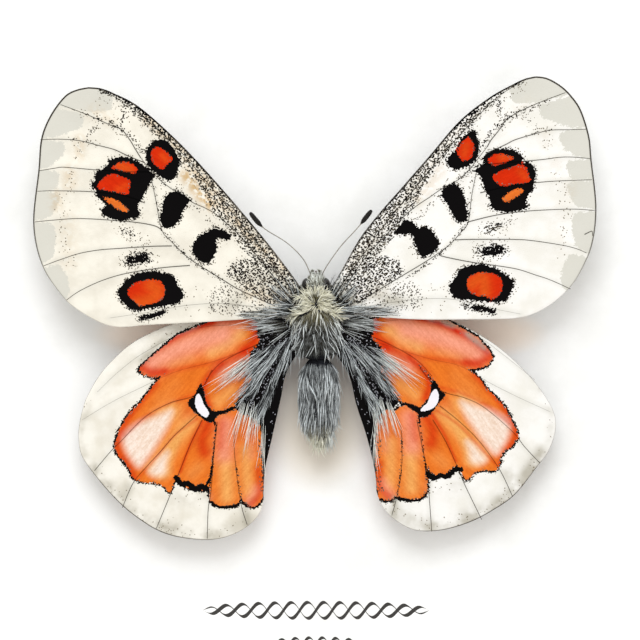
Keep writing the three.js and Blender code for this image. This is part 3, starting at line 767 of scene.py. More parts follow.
# The same values as the forewing's, at every spot of a hindwing: the chance is again the
# largest of its layers, and the tints add up where their strokes cross
def hindPattern(side, spots):
    marks, soft = hindMarks[side], hindSoft
    cover = {key: strokesFor("hindWing", side, hindCover[key]) for key in ("crimson", "rose", "amber", "dust")}
    depth = {key: deepest(spots, outlinesFor("hindWing", side, hindCover[key]))
             for key in ("base", "frost", "paintedHighlightCells", "paintedAmberHighlightCells")}
    patches, onBase = deepest(spots, marks["orange"]), depth["base"] > 0
    chance = ease(depth["base"], *soft["base"])
    edge = np.exp(-((patches + soft["edgeOut"]) / soft["edgeWide"]) ** 2)
    chance = np.maximum(chance, soft["edgeChance"] * edge)
    chance = np.maximum(chance, inked(spots, marks["ink"]))
    chance = np.maximum(chance, fade(deepest(spots, marks["surround"]), *soft["surround"]))
    for route, width, most in cover["dust"]:
        chance = np.maximum(chance, soft["dustShare"] * most * brushed(spots, [(route, width, 1.0)]))
    smoke = brushed(spots, [(route, soft["smokeWide"] * width, soft["smokeShare"] * most)
                            for route, width, most in cover["dust"]])
    amber = ease(depth["paintedAmberHighlightCells"], *soft["paintedAmberHighlightCells"])
    frosty = soft["frostShare"] * ease(depth["frost"], *soft["frost"]) + soft["baseFrost"] * onBase
    return {
        "dark": chance, "coloured": np.clip(patches + soft["orangeGrows"], -1, 1),
        "glassy": 0 * patches, "ochre": 0 * patches,
        "crimson": brushed(spots, cover["crimson"]), "rose": brushed(spots, cover["rose"]),
        # amber is the orange's own lighter tone and, in the fan cells, painted highlight; pale is painted highlight
        "amber": np.maximum(amber, brushed(spots, cover["amber"])),
        "pale": soft["paintedHighlightMost"] * ease(depth["paintedHighlightCells"], *soft["paintedHighlightCells"]),
        "white": np.clip(deepest(spots, marks["crescent"]), -1, 1),
        "frosty": frosty + soft["frontFrost"] * onBase * ease(spots[:, 1], *soft["frontY"]),
        "smoke": np.minimum(soft["smokeGain"] * smoke, soft["smokeMost"]),
    }


# Scales over a thin skin. More scales are dark the higher the chance, up to all of them at
# a half, and above that a dark scale's dot grows until the dots meet.
wingFinish = {
    "scalesPerMm": 5.3, "fineScales": 1.3,  # the finer tiles are this many times smaller
    "slim": 0.8,  # how much shorter a scale is along the wing than across
    "scaleShare": 0.6, "fineShare": 0.4,  # what each adds to a ragged edge
    "drift": 0.3, "driftFade": (0.35, 0.7), "smokeFade": (0.3, 0.6),
    "ochreCloud": 1.6, "ochreFade": (0.35, 0.55),
    "silk": (0.35, 2.2, 1), "silkFade": (0.35, 0.65),
    "silkDark": (0.86, 0.78, 0.7, 1), "silkLight": (1.06, 1.1, 1.12, 1),
    "glassyShare": 0.9, "paintedVeinShadeShare": 0.3, "veinOnColour": 0.3, "frostDot": 0.42,
    # By the chance of a dark scale: a dot's size, how it grows until dots meet, and its black
    "dot": (0.05, 0.6, 0.33, 0.52), "dotGrows": (0.6, 1.0, 0.0, 1.0), "dotLuck": 0.09,
    "darkens": (0.05, 0.4), "darkLuck": (-0.4, 0.7), "blackFrom": (0.5, 0.6),
    # Where an edge lies and how ragged it is
    "glassyEdge": (0.5, 1.0), "colouredEdge": (0.0, 0.26), "whiteEdge": (0.0, 0.1),
    "rough": 0.75, "shine": 0.04, "relief": 0.02, "reliefShare": 0.6,
    # glassy: the clear margin's own pale tone, darkened with painted shade of the card seen through it
    "cream": (250, 245, 231), "shadeCream": (235, 229, 214), "glassy": (217, 215, 204),
    "hindCream": (251, 247, 236), "rightCream": (253, 251, 246), "rightShade": (243, 240, 231),
    "ochre": (205, 166, 104), "black": (9, 7, 8), "dusty": (138, 128, 110), "orange": (238, 121, 38),
    # pale is painted highlight; amber is the orange's own lighter tone and, on the hindwing, also painted highlight
    "crimson": (216, 42, 6), "rose": (250, 164, 136), "amber": (247, 176, 98), "pale": (252, 234, 220),
    "white": (247, 243, 248), "vein": (66, 56, 46), "frost": (176, 177, 184), "smoke": (176, 170, 153),
}
wingTones = ("cream", "shadeCream", "glassy", "hindCream", "rightCream", "rightShade", "ochre", "black", "dusty",
             "orange", "crimson", "rose", "amber", "pale", "white", "vein", "frost", "smoke")
scaleTurn = {"foreWing": 32, "hindWing": -48}  # which way the scales point, in degrees from +X


# The wing's colour is laid in layers, each blended over the last by its own share: cream
# ground, painted shade beside the veins, glassy margin whose grey is partly painted shade, and
# ochre; the coloured cells, with painted highlights in the hindwing's; smoke and dark scales;
# frost, the white crescent and the veins. An edge is where a value plus a scale's random number passes a line.
def wingMaterial(kind):
    made = wingFinish
    look = {key: ink(*made[key]) for key in wingTones}
    finish, tree, shader = newFinish(kind + "Scales", made["rough"], Specular_IOR_Level=made["shine"])
    spot = place(tree)
    apart = add(tree, "SeparateXYZ", {0: spot})
    mirrored = add(tree, "CombineXYZ", {0: maths(tree, "ABSOLUTE", apart.outputs[0]), 1: apart.outputs[1],
                                        2: times(tree, apart.outputs[2], 0.0)}).outputs[0]
    turned = add(tree, "VectorRotate", {"Vector": mirrored, "Angle": math.radians(-scaleTurn[kind])},
                 rotation_type="Z_AXIS").outputs[0]
    rows = add(tree, "Mapping", {"Vector": turned, "Scale": (made["slim"], 1, 1)}).outputs[0]
    scale, scaleDistance = tiles(tree, rows, made["scalesPerMm"])
    fine, fineDistance = tiles(tree, rows, made["scalesPerMm"] * made["fineScales"])
    drift = cloud(tree, spot, made["drift"])
    mixed = plus(tree, times(tree, scale, made["scaleShare"]), times(tree, fine, made["fineShare"]))
    ragged = maths(tree, "SUBTRACT", mixed, 0.5)

    # 1 where the named value, made ragged by up to half the most, is over the edge
    def torn(name):
        edge, most = made[name + "Edge"]
        return maths(tree, "GREATER_THAN", plus(tree, value(tree, name), times(tree, ragged, most)), edge)

    right = maths(tree, "GREATER_THAN", apart.outputs[0], 0.0)
    cream = blend(tree, right, look["cream" if kind == "foreWing" else "hindCream"], look["rightCream"])
    shaded = blend(tree, right, look["shadeCream"], look["rightShade"])
    ground = blend(tree, between(tree, drift, *made["driftFade"]), cream, shaded)
    # painted shade: the ground greys beside each vein
    ground = blend(tree, times(tree, value(tree, "paintedVeinShade"), made["paintedVeinShadeShare"]), ground, look["glassy"])
    # the glassy margin, whose grey is partly painted shade
    ground = blend(tree, times(tree, torn("glassy"), made["glassyShare"]), ground, look["glassy"])
    patchy = between(tree, cloud(tree, rows, made["ochreCloud"]), *made["ochreFade"])
    ground = blend(tree, maths(tree, "MULTIPLY", value(tree, "ochre"), patchy, clamp=True), ground, look["ochre"])

    streak = add(tree, "Mapping", {"Vector": turned, "Scale": made["silk"]}).outputs[0]
    silk = between(tree, cloud(tree, streak, 1.0, 4.0, 0.6), *made["silkFade"])
    # amber is the orange's own lighter tone and, on the hindwing, also painted highlight; pale is painted highlight
    colour = blend(tree, value(tree, "amber"), look["orange"], look["amber"])
    for name in ("rose", "pale", "crimson"):
        colour = blend(tree, value(tree, name), colour, look[name])
    half = plus(tree, times(tree, silk, 0.5), times(tree, scale, 0.5))
    colour = tinted(tree, 1.0, colour, blend(tree, half, made["silkDark"], made["silkLight"]))
    onColour = torn("coloured")
    colour = blend(tree, onColour, ground, colour)

    odds = value(tree, "dark")
    reach = plus(tree, between(tree, odds, *made["dot"]), between(tree, odds, *made["dotGrows"]))
    reach = plus(tree, reach, times(tree, fine, made["dotLuck"]))
    dark = times(tree, maths(tree, "LESS_THAN", scaleDistance, reach),
                 maths(tree, "LESS_THAN", scale, times(tree, odds, 2.0)))
    darkness = times(tree, between(tree, odds, *made["darkens"]), between(tree, fine, *made["darkLuck"]))
    darkness = maths(tree, "MAXIMUM", darkness, between(tree, odds, *made["blackFrom"]))
    smoke = times(tree, value(tree, "smoke"), between(tree, drift, *made["smokeFade"]))
    colour = blend(tree, smoke, colour, look["smoke"])
    colour = blend(tree, dark, colour, blend(tree, darkness, look["dusty"], look["black"]))
    frosted = times(tree, maths(tree, "LESS_THAN", fine, value(tree, "frosty")),
                    maths(tree, "LESS_THAN", fineDistance, made["frostDot"]))
    colour = blend(tree, frosted, colour, look["frost"])
    colour = blend(tree, torn("white"), colour, look["white"])
    clear = maths(tree, "SUBTRACT", 1.0, times(tree, onColour, made["veinOnColour"]))
    tint = blend(tree, times(tree, value(tree, "rib"), clear), (1, 1, 1, 1), look["vein"])
    tree.links.new(tinted(tree, 1.0, colour, tint), shader.inputs["Base Color"])
    height = plus(tree, scaleDistance, times(tree, fine, made["fineShare"]))
    bump(tree, shader, height, made["relief"], made["reliefShare"])
    return finish


# How each wing's edges are bound by a fine vein: its radius and darkness from the edge's
# start to its end
wingBinding = {
    "foreWing": {
        "front": {"radius": [0.12, 0.13, 0.13, 0.125, 0.12, 0.11], "dark": [0.6, 0.8, 0.9, 0.95, 0.95, 0.95]},
        "outer": {"radius": [0.11, 0.115, 0.11, 0.1, 0.095, 0.085, 0.06, 0.045, 0.03],
                  "dark": [0.95, 0.96, 0.95, 0.92, 0.9, 0.75, 0.4, 0.15, 0.1]},
        "inner": {"radius": [0.04, 0.035, 0.03], "dark": [0.3, 0.15, 0.05]},
    },
    "hindWing": {
        "front": {"radius": [0.05, 0.045, 0.04, 0.04], "dark": [0.3, 0.5, 0.6, 0.6]},
        "outer": {"radius": [0.045, 0.04, 0.045, 0.06, 0.065, 0.065, 0.055, 0.04, 0.03],
                  "dark": [0.55, 0.45, 0.5, 0.75, 0.85, 0.85, 0.75, 0.4, 0.2]},
        "inner": {"radius": [0.05, 0.05, 0.04], "dark": [0.9, 0.9, 0.5]},
    },
}


# A wing is a thin closed skin: the plan lifted to its height, sunk between the veins, with
# its veins and edges laid on it as fine rods. From root to tip the height changes by the
# way's power, and towards the inner edge by the square of the way across.
def makeWing(name, finish):
    kind, side = name[:8], name[8:].lower()
    shape, height = wingShape, wingHeight[kind]
    plan, u, v = wingPlan(wingEdges[name], shape["along"], shape["across"])
    rows, columns = plan.shape[:2]
    spots = plan.reshape(-1, 2)
    veins = [curveThrough(onBoard(route), shape["veinSteps"]) for route in wingVeins[name]]
    toVein = np.min([distanceTo(spots, route, shape["pleatReach"]) for route in veins], 0).reshape(rows, columns)
    lift = height["root"] + height["tip"] * u ** shape["bend"] + height["inner"] * u * v * v
    pleat = ease(toVein, 0, shape["pleatReach"]) * ease(u, *shape["pleatStarts"])
    lift = lift - shape["pleat"] * pleat * ease(1 - u, *shape["pleatEnds"])
    acrossTurns, alongTurns = shape["waveTurns"]
    lift = lift + shape["wave"] * np.sin(acrossTurns * v + alongTurns * u) * u
    rim = np.minimum.reduce([u + 0 * v, 1 - u + 0 * v, v + 0 * u, 1 - v + 0 * u]) * shape["rimShare"]
    half = (shape["edgeThick"] + (shape["thick"] - shape["edgeThick"]) * ease(rim)) / 2
    top = np.concatenate([spots, (lift + half).reshape(-1, 1)], 1)
    under = np.concatenate([spots, (lift - half).reshape(-1, 1)], 1)
    count = rows * columns
    index = np.arange(count).reshape(rows, columns)
    ring = np.concatenate([index[0, :-1], index[:-1, -1], index[-1, :0:-1], index[:0:-1, 0]])
    wall = np.stack([ring, np.roll(ring, -1), np.roll(ring, -1) + count, ring + count], 1)
    faces = [gridFaces(rows, columns), gridFaces(rows, columns, count)[:, ::-1], wall]
    if side == "right":  # its grid is a mirrored one, and its faces are turned back outwards
        faces = [some[:, ::-1] for some in faces]

    pattern = (forePattern if kind == "foreWing" else hindPattern)(side, spots)
    # painted shade beside the veins, strongest on a vein and gone 0.7 mm from it
    pattern["paintedVeinShade"] = ease(-toVein.ravel(), *shape["paintedVeinShade"])
    values = {key: [field, field] for key, field in pattern.items()}
    values["rib"] = [np.zeros(count), np.zeros(count)]
    parts, total = [top, under], 2 * count

    rods = []
    for number, route in enumerate(veins):
        faint = number in faintVeins[name]
        away = ((route[:, None] - spots[None]) ** 2).sum(2)
        nearest = away.argmin(1)
        path = np.concatenate([route, top[nearest, 2:]], 1)
        taper = np.linspace(shape["veinTaper"], 1.0, len(route)) * (shape["faint"] if faint else 1.0)
        tone = np.full(len(route), shape["faint"] if faint else shape["veinTone"])
        rods.append((path, nearest, shape["vein"] * taper, tone))
    edgeRows = {"front": index[:, 0], "outer": index[-1], "inner": index[:, -1]}
    for edge, binding in wingBinding[kind].items():
        along = edgeRows[edge][::2]
        share = np.linspace(0, 1, len(along))
        radius = np.interp(share, np.linspace(0, 1, len(binding["radius"])), binding["radius"])
        tone = np.interp(share, np.linspace(0, 1, len(binding["dark"])), binding["dark"])
        rods.append(((top[along] + under[along]) / 2, along, radius, tone))
    sides = shape["rodSides"]
    for path, nearest, radius, tone in rods:
        rodPoints, rodFaces = rodAlong(path, radius, sides, flat=shape["rodFlat"], first=total)
        parts.append(rodPoints)
        faces += rodFaces
        total += len(rodPoints)
        onRod = np.concatenate([np.repeat(nearest, sides), nearest[[0, -1]]])
        for key, field in pattern.items():
            values[key].append(field[onRod])
        values["rib"].append(np.concatenate([np.repeat(tone, sides), tone[[0, -1]]]))
    values = {key: np.concatenate(some) for key, some in values.items()}
    piece = makePiece(name, np.concatenate(parts), faces, finish, values)
    slot = kind.lower()
    standsFor(piece, slot, slot + "_" + side)
    return spots, top[:, 2]


wingScales = {kind: wingMaterial(kind) for kind in wingHeight}
wingTops = {}
for wingName in wingEdges:
    wingTops[wingName] = makeWing(wingName, wingScales[wingName[:8]])
    print("wing made:", wingName)


# A hair's four stations, as shares of its length, and its girth at the first three. It has
# three sides and ends in a point, so it has ten points in all.
spike = {"shares": [0.0, 0.35, 0.7, 1.0], "girths": [0.8, 1.0, 0.7], "sides": 3, "points": 10}


# Fine tapered hairs as closed three-sided spikes. Each leaves its root along its heading,
# rises by lift and falls back by droop, and is drawn towards its lock's middle by the
# square of the way: p(s) = root + length (s heading + up (lift s - droop s s)) + pull s s.
def hairs(roots, headings, lengths, lift, droop, pull, radius, up):
    count = len(roots)
    shares = np.array(spike["shares"])[None, :, None]
    rise = up[:, None] * (lift[:, None, None] * shares - droop[:, None, None] * shares ** 2)
    middle = roots[:, None] + lengths[:, None, None] * (headings[:, None] * shares + rise)
    middle = middle + pull[:, None] * shares ** 2
    side = np.cross(headings, up)
    side /= np.linalg.norm(side, axis=1, keepdims=True) + tiny
    angle = np.arange(spike["sides"]) * 2 * np.pi / spike["sides"]
    ring = side[:, None] * np.cos(angle)[None, :, None] + up[:, None] * np.sin(angle)[None, :, None]
    girth = np.array(spike["girths"])
    rings = middle[:, :3, None] + radius[:, None, None, None] * girth[None, :, None, None] * ring[:, None]
    points = np.concatenate([rings.reshape(count, 9, 3), middle[:, 3:]], 1).reshape(-1, 3)
    base = np.arange(count)[:, None, None] * spike["points"]
    walls = np.array([[b, a, a + 3, b + 3] for a, b in [(0, 1), (1, 2), (2, 0), (3, 4), (4, 5), (5, 3)]])
    ends = np.array([[7, 6, 9], [8, 7, 9], [6, 8, 9], [0, 1, 2]])
    return points, [(base + walls[None]).reshape(-1, 4), (base + ends[None]).reshape(-1, 3)]


# The number of the nearest of many places to each spot, some spots at a time
def nearestOf(spots, places, atOnce=1000):
    return np.concatenate([((some[:, None] - places[None]) ** 2).sum(2).argmin(1)
                           for some in np.array_split(spots, 1 + len(spots) // atOnce)])


# Hairs lie together in locks: some roots are picked as locks' middles, and every hair
# belongs to the nearest. Gives each hair's lock number and the way to its middle.
def lockOf(roots, locks, chance):
    middles = roots[chance.choice(len(roots), locks, replace=False)]
    number = nearestOf(roots, middles)
    return number, middles[number] - roots


# A start value and, by the share, as much of what is added to it
def raised(pair, share):
    return pair[0] + pair[1] * share


# How the hairs of a coat differ: from least to most, as shares of the coat's own values, or
# for a lock a start and what is added by its luck. Light hairs ride over the dark ones.
hairRange = {
    "length": (0.6, 1.15), "radius": (0.7, 1.25), "lift": (0.4, 1.3), "droop": (0.8, 1.2),
    "silverShade": (0.72, 1.0), "lockSilver": (0.4, 1.2), "lockShade": (0.8, 0.2), "lockLength": (0.75, 0.5),
    "darkLength": 0.62, "darkRadius": 0.75, "rise": 0.06,
}


# A coat of hairs: short dark ones, and by chance longer light ones that ride over them.
# Hairs of one lock share their turn, their length and part of their shade.
def coat(name, roots, headings, up, look, tone, seed):
    chance = np.random.default_rng(seed)
    count, vary = len(roots), hairRange
    lock, inward = lockOf(roots, max(1, int(count / look["perLock"])), chance)
    ofLock = chance.random((lock.max() + 1, 3))[lock]
    turn = (ofLock[:, 0] - 0.5) * look["lockTurn"] + chance.normal(0, look["stray"], count)
    side = np.cross(up, headings)
    headings = headings * np.cos(turn)[:, None] + side * np.sin(turn)[:, None]
    headings = headings + up * chance.normal(0, vary["rise"], (count, 1))
    headings /= np.linalg.norm(headings, axis=1, keepdims=True)
    light, cream, rosy = tone(roots)
    silver = chance.random(count) < look["silver"] * light * raised(vary["lockSilver"], ofLock[:, 1])
    bright = chance.uniform(*vary["silverShade"], count)
    dull = chance.uniform(*look["under"], count) * np.minimum(light, 1)
    shade = np.where(silver, bright, dull) * raised(vary["lockShade"], ofLock[:, 0])
    lengths = look["length"] * chance.uniform(*vary["length"], count) * raised(vary["lockLength"], ofLock[:, 2])
    lengths = lengths * np.where(silver, 1.0, vary["darkLength"])
    lift = look["lift"] * chance.uniform(*vary["lift"], count) + look["over"] * silver
    droop = look["droop"] * chance.uniform(*vary["droop"], count)
    radius = look["radius"] * chance.uniform(*vary["radius"], count) * np.where(silver, 1.0, vary["darkRadius"])
    inward = inward - up * (inward * up).sum(1, keepdims=True)
    points, faces = hairs(roots, headings, lengths, lift, droop, look["gather"] * inward, radius, up)
    values = {"shade": np.clip(shade, 0, 1), "cream": np.clip(cream, 0, 1), "rosy": np.clip(rosy, 0, 1)}
    values = {key: np.repeat(field, spike["points"]) for key, field in values.items()}
    values["tip"] = np.tile(np.repeat(spike["shares"], [3, 3, 3, 1]), count)
    return makePiece(name, points, faces, hairLook, values)


# The hair's colours, each with the share of the studio's light that its hairs catch
hairFinish = {
    "dark": ((9, 10, 14), 1.0), "silver": ((200, 206, 220), 0.5), "creamDark": ((118, 110, 74), 0.5),
    "cream": ((254, 247, 217), 0.64), "rosy": ((248, 212, 198), 0.5),
}


# From dark to light by a hair's shade, which is less at its root: greys, rosy greys or creams
def hairMaterial():
    look = {key: ink(*tone, lit) for key, (tone, lit) in hairFinish.items()}
    finish, tree, shader = newFinish("hair", 0.5, Specular_IOR_Level=0.2)
    grain = cloud(tree, place(tree), 2.2)
    grained = between(tree, grain, 0.3, 0.7, -0.08, 0.08)
    shade = maths(tree, "ADD", value(tree, "shade"), grained, clamp=True)
    shade = times(tree, shade, between(tree, value(tree, "tip"), 0.0, 0.35, 0.7, 1.0))
    shade = maths(tree, "POWER", shade, 1.3)
    grey = blend(tree, shade, look["dark"], look["silver"])
    grey = blend(tree, times(tree, value(tree, "rosy"), shade), grey, look["rosy"])
    warm = blend(tree, shade, look["creamDark"], look["cream"])
    tree.links.new(blend(tree, value(tree, "cream"), grey, warm), shader.inputs["Base Color"])
    return finish


hairLook = hairMaterial()

# Middle line, ends, half width and height of each part of the body, and how blunt its ends are
body = {
    "thorax": {"x": -0.5, "front": 4.2, "back": -5.0, "wide": 2.9, "z": 9.15, "up": 2.35, "down": 2.4,
               "blunt": 2.6},
    "abdomen": {"x": -0.15, "front": -4.6, "back": -14.4, "wide": 2.4, "z": 8.7, "up": 1.95, "down": 2.0,
                "blunt": 2.5},
    "tail": {"x": 0.2, "front": -12.0, "back": -15.4, "wide": 1.25, "z": 8.35, "up": 0.8, "down": 0.8,
             "blunt": 2.2},
    "head": {"x": -0.5, "front": 5.6, "back": 3.0, "wide": 1.3, "z": 9.0, "up": 1.15, "down": 1.15, "blunt": 2.2},
}


# A rounded body: round its middle line by the angle, and along it from tail (0) to front (1).
# Its girth is (1 - |y|^blunt)^(1/blunt), so the ends are blunt.
def bodySpot(size, way, around):
    way, around = np.broadcast_arrays(way, around)
    y = 2 * way - 1
    girth = np.maximum(1 - np.abs(y) ** size["blunt"], 0) ** (1 / size["blunt"])
    tall = np.where(np.sin(around) > 0, size["up"], size["down"])
    long = (size["front"] - size["back"]) / 2
    return np.stack([size["x"] + size["wide"] * girth * np.cos(around),
                     (size["front"] + size["back"]) / 2 + long * y,
                     size["z"] + tall * girth * np.sin(around)], -1)


# The direction straight out of the body, square to its slopes along and around
def bodyOut(size, way, around, nudge=1e-3):
    ahead, behind = np.clip(way + nudge, 0, 1), np.clip(way - nudge, 0, 1)
    along = bodySpot(size, ahead, around) - bodySpot(size, behind, around)
    about = bodySpot(size, way, around + nudge) - bodySpot(size, way, around - nudge)
    out = np.cross(along, about)
    return out / (np.linalg.norm(out, axis=-1, keepdims=True) + tiny)


folding = {"depth": 0.02, "around": 9, "twist": 40, "along": 31}  # the skin's slight folds


# The body's skin: rings from tail to front, folded a little, closed by a point at each end
def bodyPiece(name, size, finish, rows=60, columns=64):
    way = (1 - np.cos(np.linspace(0, np.pi, rows + 2)[1:-1])) / 2
    around = np.linspace(0, 2 * np.pi, columns, endpoint=False)
    rings = bodySpot(size, way[:, None], around[None])
    folds = np.sin(folding["around"] * around[None] + folding["twist"] * way[:, None])
    folds = 1 + folding["depth"] * folds * np.sin(folding["along"] * way[:, None])
    rings[..., 0] = size["x"] + (rings[..., 0] - size["x"]) * folds
    rings[..., 2] = size["z"] + (rings[..., 2] - size["z"]) * folds
    ends = np.array([[size["x"], size["back"], size["z"]], [size["x"], size["front"], size["z"]]])
    points = np.concatenate([rings.reshape(-1, 3), ends])
    first, last = np.arange(columns), (rows - 1) * columns + np.arange(columns)
    caps = np.concatenate([
        np.stack([np.full(columns, rows * columns), first, np.roll(first, -1)], 1),
        np.stack([np.full(columns, rows * columns + 1), np.roll(last, -1), last], 1),
    ])
    return makePiece(name, points, [gridFaces(rows, columns, closedAcross=True), caps], finish)


# The plain finishes: two tones by a noise of so many waves to a millimetre, which is also
# their relief, of the given depth. Where fades are given, the tones change between them.
plainFinish = {
    # bodySkin: the body's own near-black skin, and partly painted shade deep in the fur
    "bodySkin": {"tones": ((9, 9, 12), (40, 42, 48)), "rough": 0.85, "scale": 3.0, "detail": (5.0, 0.7),
                 "fades": (0.35, 0.65), "depth": 0.12, "uniform": {"Specular_IOR_Level": 0.1}},
    "horn": {"tones": ((36, 24, 16), (86, 62, 42)), "rough": 0.5, "scale": 6.0, "fades": (0.3, 0.7), "depth": 0.02},
    "legScales": {"tones": ((60, 54, 48), (150, 140, 124)), "rough": 0.5, "scale": 6.0, "fades": (0.3, 0.7),
                  "depth": 0.02},
    "pinSteel": {"tones": ((150, 152, 156), (205, 206, 208)), "rough": 0.3, "scale": 1.0, "depth": 0.005,
                 "stretch": (8.0, 8.0, 0.4), "uniform": {"Metallic": 1.0}},
    "studioFloor": {"tones": ((236, 236, 233), (226, 226, 224)), "rough": 0.9, "scale": 0.004},
}


# One of them: the first tone where the noise is low, and by its share the second
def plainMaterial(name):
    made = plainFinish[name]
    finish, tree, shader = newFinish(name, made["rough"], **made.get("uniform", {}))
    spot = place(tree)
    if "stretch" in made:
        spot = add(tree, "Mapping", {"Vector": spot, "Scale": made["stretch"]}).outputs[0]
    grain = cloud(tree, spot, made["scale"], *made.get("detail", ()))
    share = between(tree, grain, *made["fades"]) if "fades" in made else grain
    dark, light = made["tones"]
    tree.links.new(blend(tree, share, ink(*dark), ink(*light)), shader.inputs["Base Color"])
    if "depth" in made:
        bump(tree, shader, grain, made["depth"])
    return finish


skin = plainMaterial("bodySkin")
standsFor(bodyPiece("thoraxBody", body["thorax"], skin), "thorax_fur", "thorax")
standsFor(bodyPiece("abdomenBody", body["abdomen"], skin), "abdomen_fur", "abdomen")
bodyPiece("tailBody", body["tail"], skin, 30, 40)
standsFor(bodyPiece("headBody", body["head"], skin, 40, 48), "head_fur", "head")
print("body made")


middleX = body["thorax"]["x"]
# Where hairs are tried and rooted: tries for each hair, a share of the way from the tail and
# what is added by chance, how far under the skin, and how far over a wing
planting = {"bodyTries": 3, "way": (0.01, 0.98), "sunk": 0.05, "wingTries": 4, "margin": 0.5, "above": 0.02}
standAside = (1.2, 2.4)  # where a coat stands up more at its sides, it does so between these


# Whether each spot lies inside the limits that a coat gives along, aside of and above the body
def within(spots, limits):
    kept = np.ones(len(spots), bool)
    aside = np.abs(spots[:, 0] - middleX)
    for key, field in (("y", spots[:, 1]), ("aside", aside), ("z", spots[:, 2])):
        low, high = limits.get(key, (-np.inf, np.inf))
        kept &= (field > low) & (field < high)
    return kept


# Hairs on a body part, inside the coat's limits and where keep allows. heading gives each
# root's direction seen from above, which is then laid flat on the skin, and the coat's stand
# says how far it leaves the skin again.
def coatBody(name, size, look, heading, tone, keep=None, more=0):
    chance = np.random.default_rng(look["seed"] + more)
    count, tries = look["count"], look["count"] * planting["bodyTries"]
    way = raised(planting["way"], chance.random(tries))
    around = chance.uniform(-look["skirt"], math.pi + look["skirt"], tries)
    spots = bodySpot(size, way, around)
    kept = within(spots, look["limits"])
    if keep:
        kept &= keep(spots)
    way, around, roots = way[kept][:count], around[kept][:count], spots[kept][:count]
    out = bodyOut(size, way, around)
    ahead = heading(roots[:, 0], roots[:, 1])
    ahead = np.stack([ahead[0], ahead[1], 0 * way], 1)
    ahead -= out * (ahead * out).sum(1, keepdims=True)
    ahead /= np.linalg.norm(ahead, axis=1, keepdims=True) + tiny
    stand = raised(look["stand"], ease(np.abs(roots[:, 0] - middleX), *standAside))
    leaning = ahead + stand[:, None] * out
    leaning /= np.linalg.norm(leaning, axis=1, keepdims=True)
    upward = out - leaning * (out * leaning).sum(1, keepdims=True)
    upward /= np.linalg.norm(upward, axis=1, keepdims=True) + tiny
    return coat(name, roots - planting["sunk"] * out, leaning, upward, look, tone, look["seed"] + more + 1)


# What most coats share: lengths in millimetres, turns in radians, and skirt, which is how far
# below the body's widest line its hairs still grow. Each coat gives what it has of its own.
anyHair = {"lift": 0.3, "droop": 0.3, "radius": 0.05, "lockTurn": 0.5, "stray": 0.2, "silver": 0.25, "gather": 0.4,
           "over": 0.15, "skirt": 0.3, "stand": (0.0, 0.0), "limits": {}}
thoraxHair = dict(anyHair, count=3200, seed=11, length=2.4, lift=0.26, droop=0.26, perLock=9, lockTurn=0.8,
                  silver=0.05, under=(0.0, 0.34), stand=(0.05, 0.0), limits={"y": (-3.6, np.inf)}, spread=0.28)
collarHair = dict(anyHair, count=2100, seed=21, length=1.45, lift=0.34, droop=0.4, radius=0.055, perLock=13,
                  lockTurn=2.0, stray=0.35, silver=0.45, under=(0.3, 0.85), gather=0.8, stand=(0.45, 0.85),
                  limits={"y": (-np.inf, 3.45)}, spread=0.8)
flankHair = dict(anyHair, count=170, seed=26, length=2.5, perLock=6, stray=0.14, under=(0.0, 0.4), gather=0.6,
                 stand=(0.3, 0.0), limits={"y": (-3.6, 1.2), "aside": (1.7, np.inf), "z": (9.0, np.inf)})
abdomenHair = dict(anyHair, count=4200, seed=31, length=2.9, lift=0.1, droop=0.11, perLock=10, lockTurn=0.2,
                   stray=0.08, silver=0.055, under=(0.12, 0.6), gather=0.45, over=0.05,
                   limits={"y": (-13.3, -5.25)})
tailHair = dict(anyHair, count=900, seed=41, length=2.2, lift=0.22, droop=0.12, radius=0.055, perLock=12,
                stray=0.16, under=(0.4, 0.85), gather=0.5, skirt=math.pi / 2, spread=0.25)
headHair = dict(anyHair, count=1000, seed=51, length=0.65, lift=0.4, radius=0.045, perLock=8, lockTurn=0.8,
                stray=0.3, silver=0.2, under=(0.2, 0.6), skirt=0.5, stand=(0.35, 0.0),
                limits={"y": (2.6, np.inf), "aside": (-np.inf, 0.9)}, spread=0.9)
tuftHair = dict(anyHair, count=260, seed=56, length=1.25, lift=0.2, radius=0.045, perLock=8, silver=0.2,
                under=(0.3, 0.6), gather=0.5, stand=(0.1, 0.0),
                limits={"y": (4.3, np.inf), "aside": (-np.inf, 0.75)}, spread=0.35)

# How light and how cream a coat is: a start and what is added, and the places between which
# it is added
furTone = {
    "collar": {"tufts": [(-2.5, 2.0, 1.0), (-0.62, 2.5, 0.5), (1.45, 2.2, 1.0)],  # dark ones: x, y, reach
               "clear": (0.4, 1.0), "light": (0.05, 1.0), "cream": (0.4, 0.6)},
    "thorax": {"aside": (0.6, 2.4), "light": (0.75, 0.7), "forward": (-1.0, 1.4), "cream": (0.05, 0.45)},
    "abdomen": {"aside": (1.2, 2.3), "light": (0.9, 0.9), "back": (12.0, 13.5), "cream": (0.0, 0.5)},
    "tail": {"right": (0.4, 0.9), "cream": (0.85, -0.6)},
}
collarLine = {"front": 1.5, "slope": 0.45, "partY": 2.0, "partReach": 1.2, "partShare": 0.5}
parting = {"x": 0.1, "closing": -0.3, "opening": 0.5, "back": (7.5, 10.5)}


# Where the cream collar lies: in front of a line that is drawn back at the sides
def onCollar(spots):
    return spots[:, 1] > collarLine["front"] - collarLine["slope"] * np.abs(spots[:, 0] - middleX)


# The same lightness, cream and rosiness for every hair of a coat
def evenTone(*tone):
    return lambda roots: np.repeat(np.array(tone, float)[:, None], len(roots), 1)


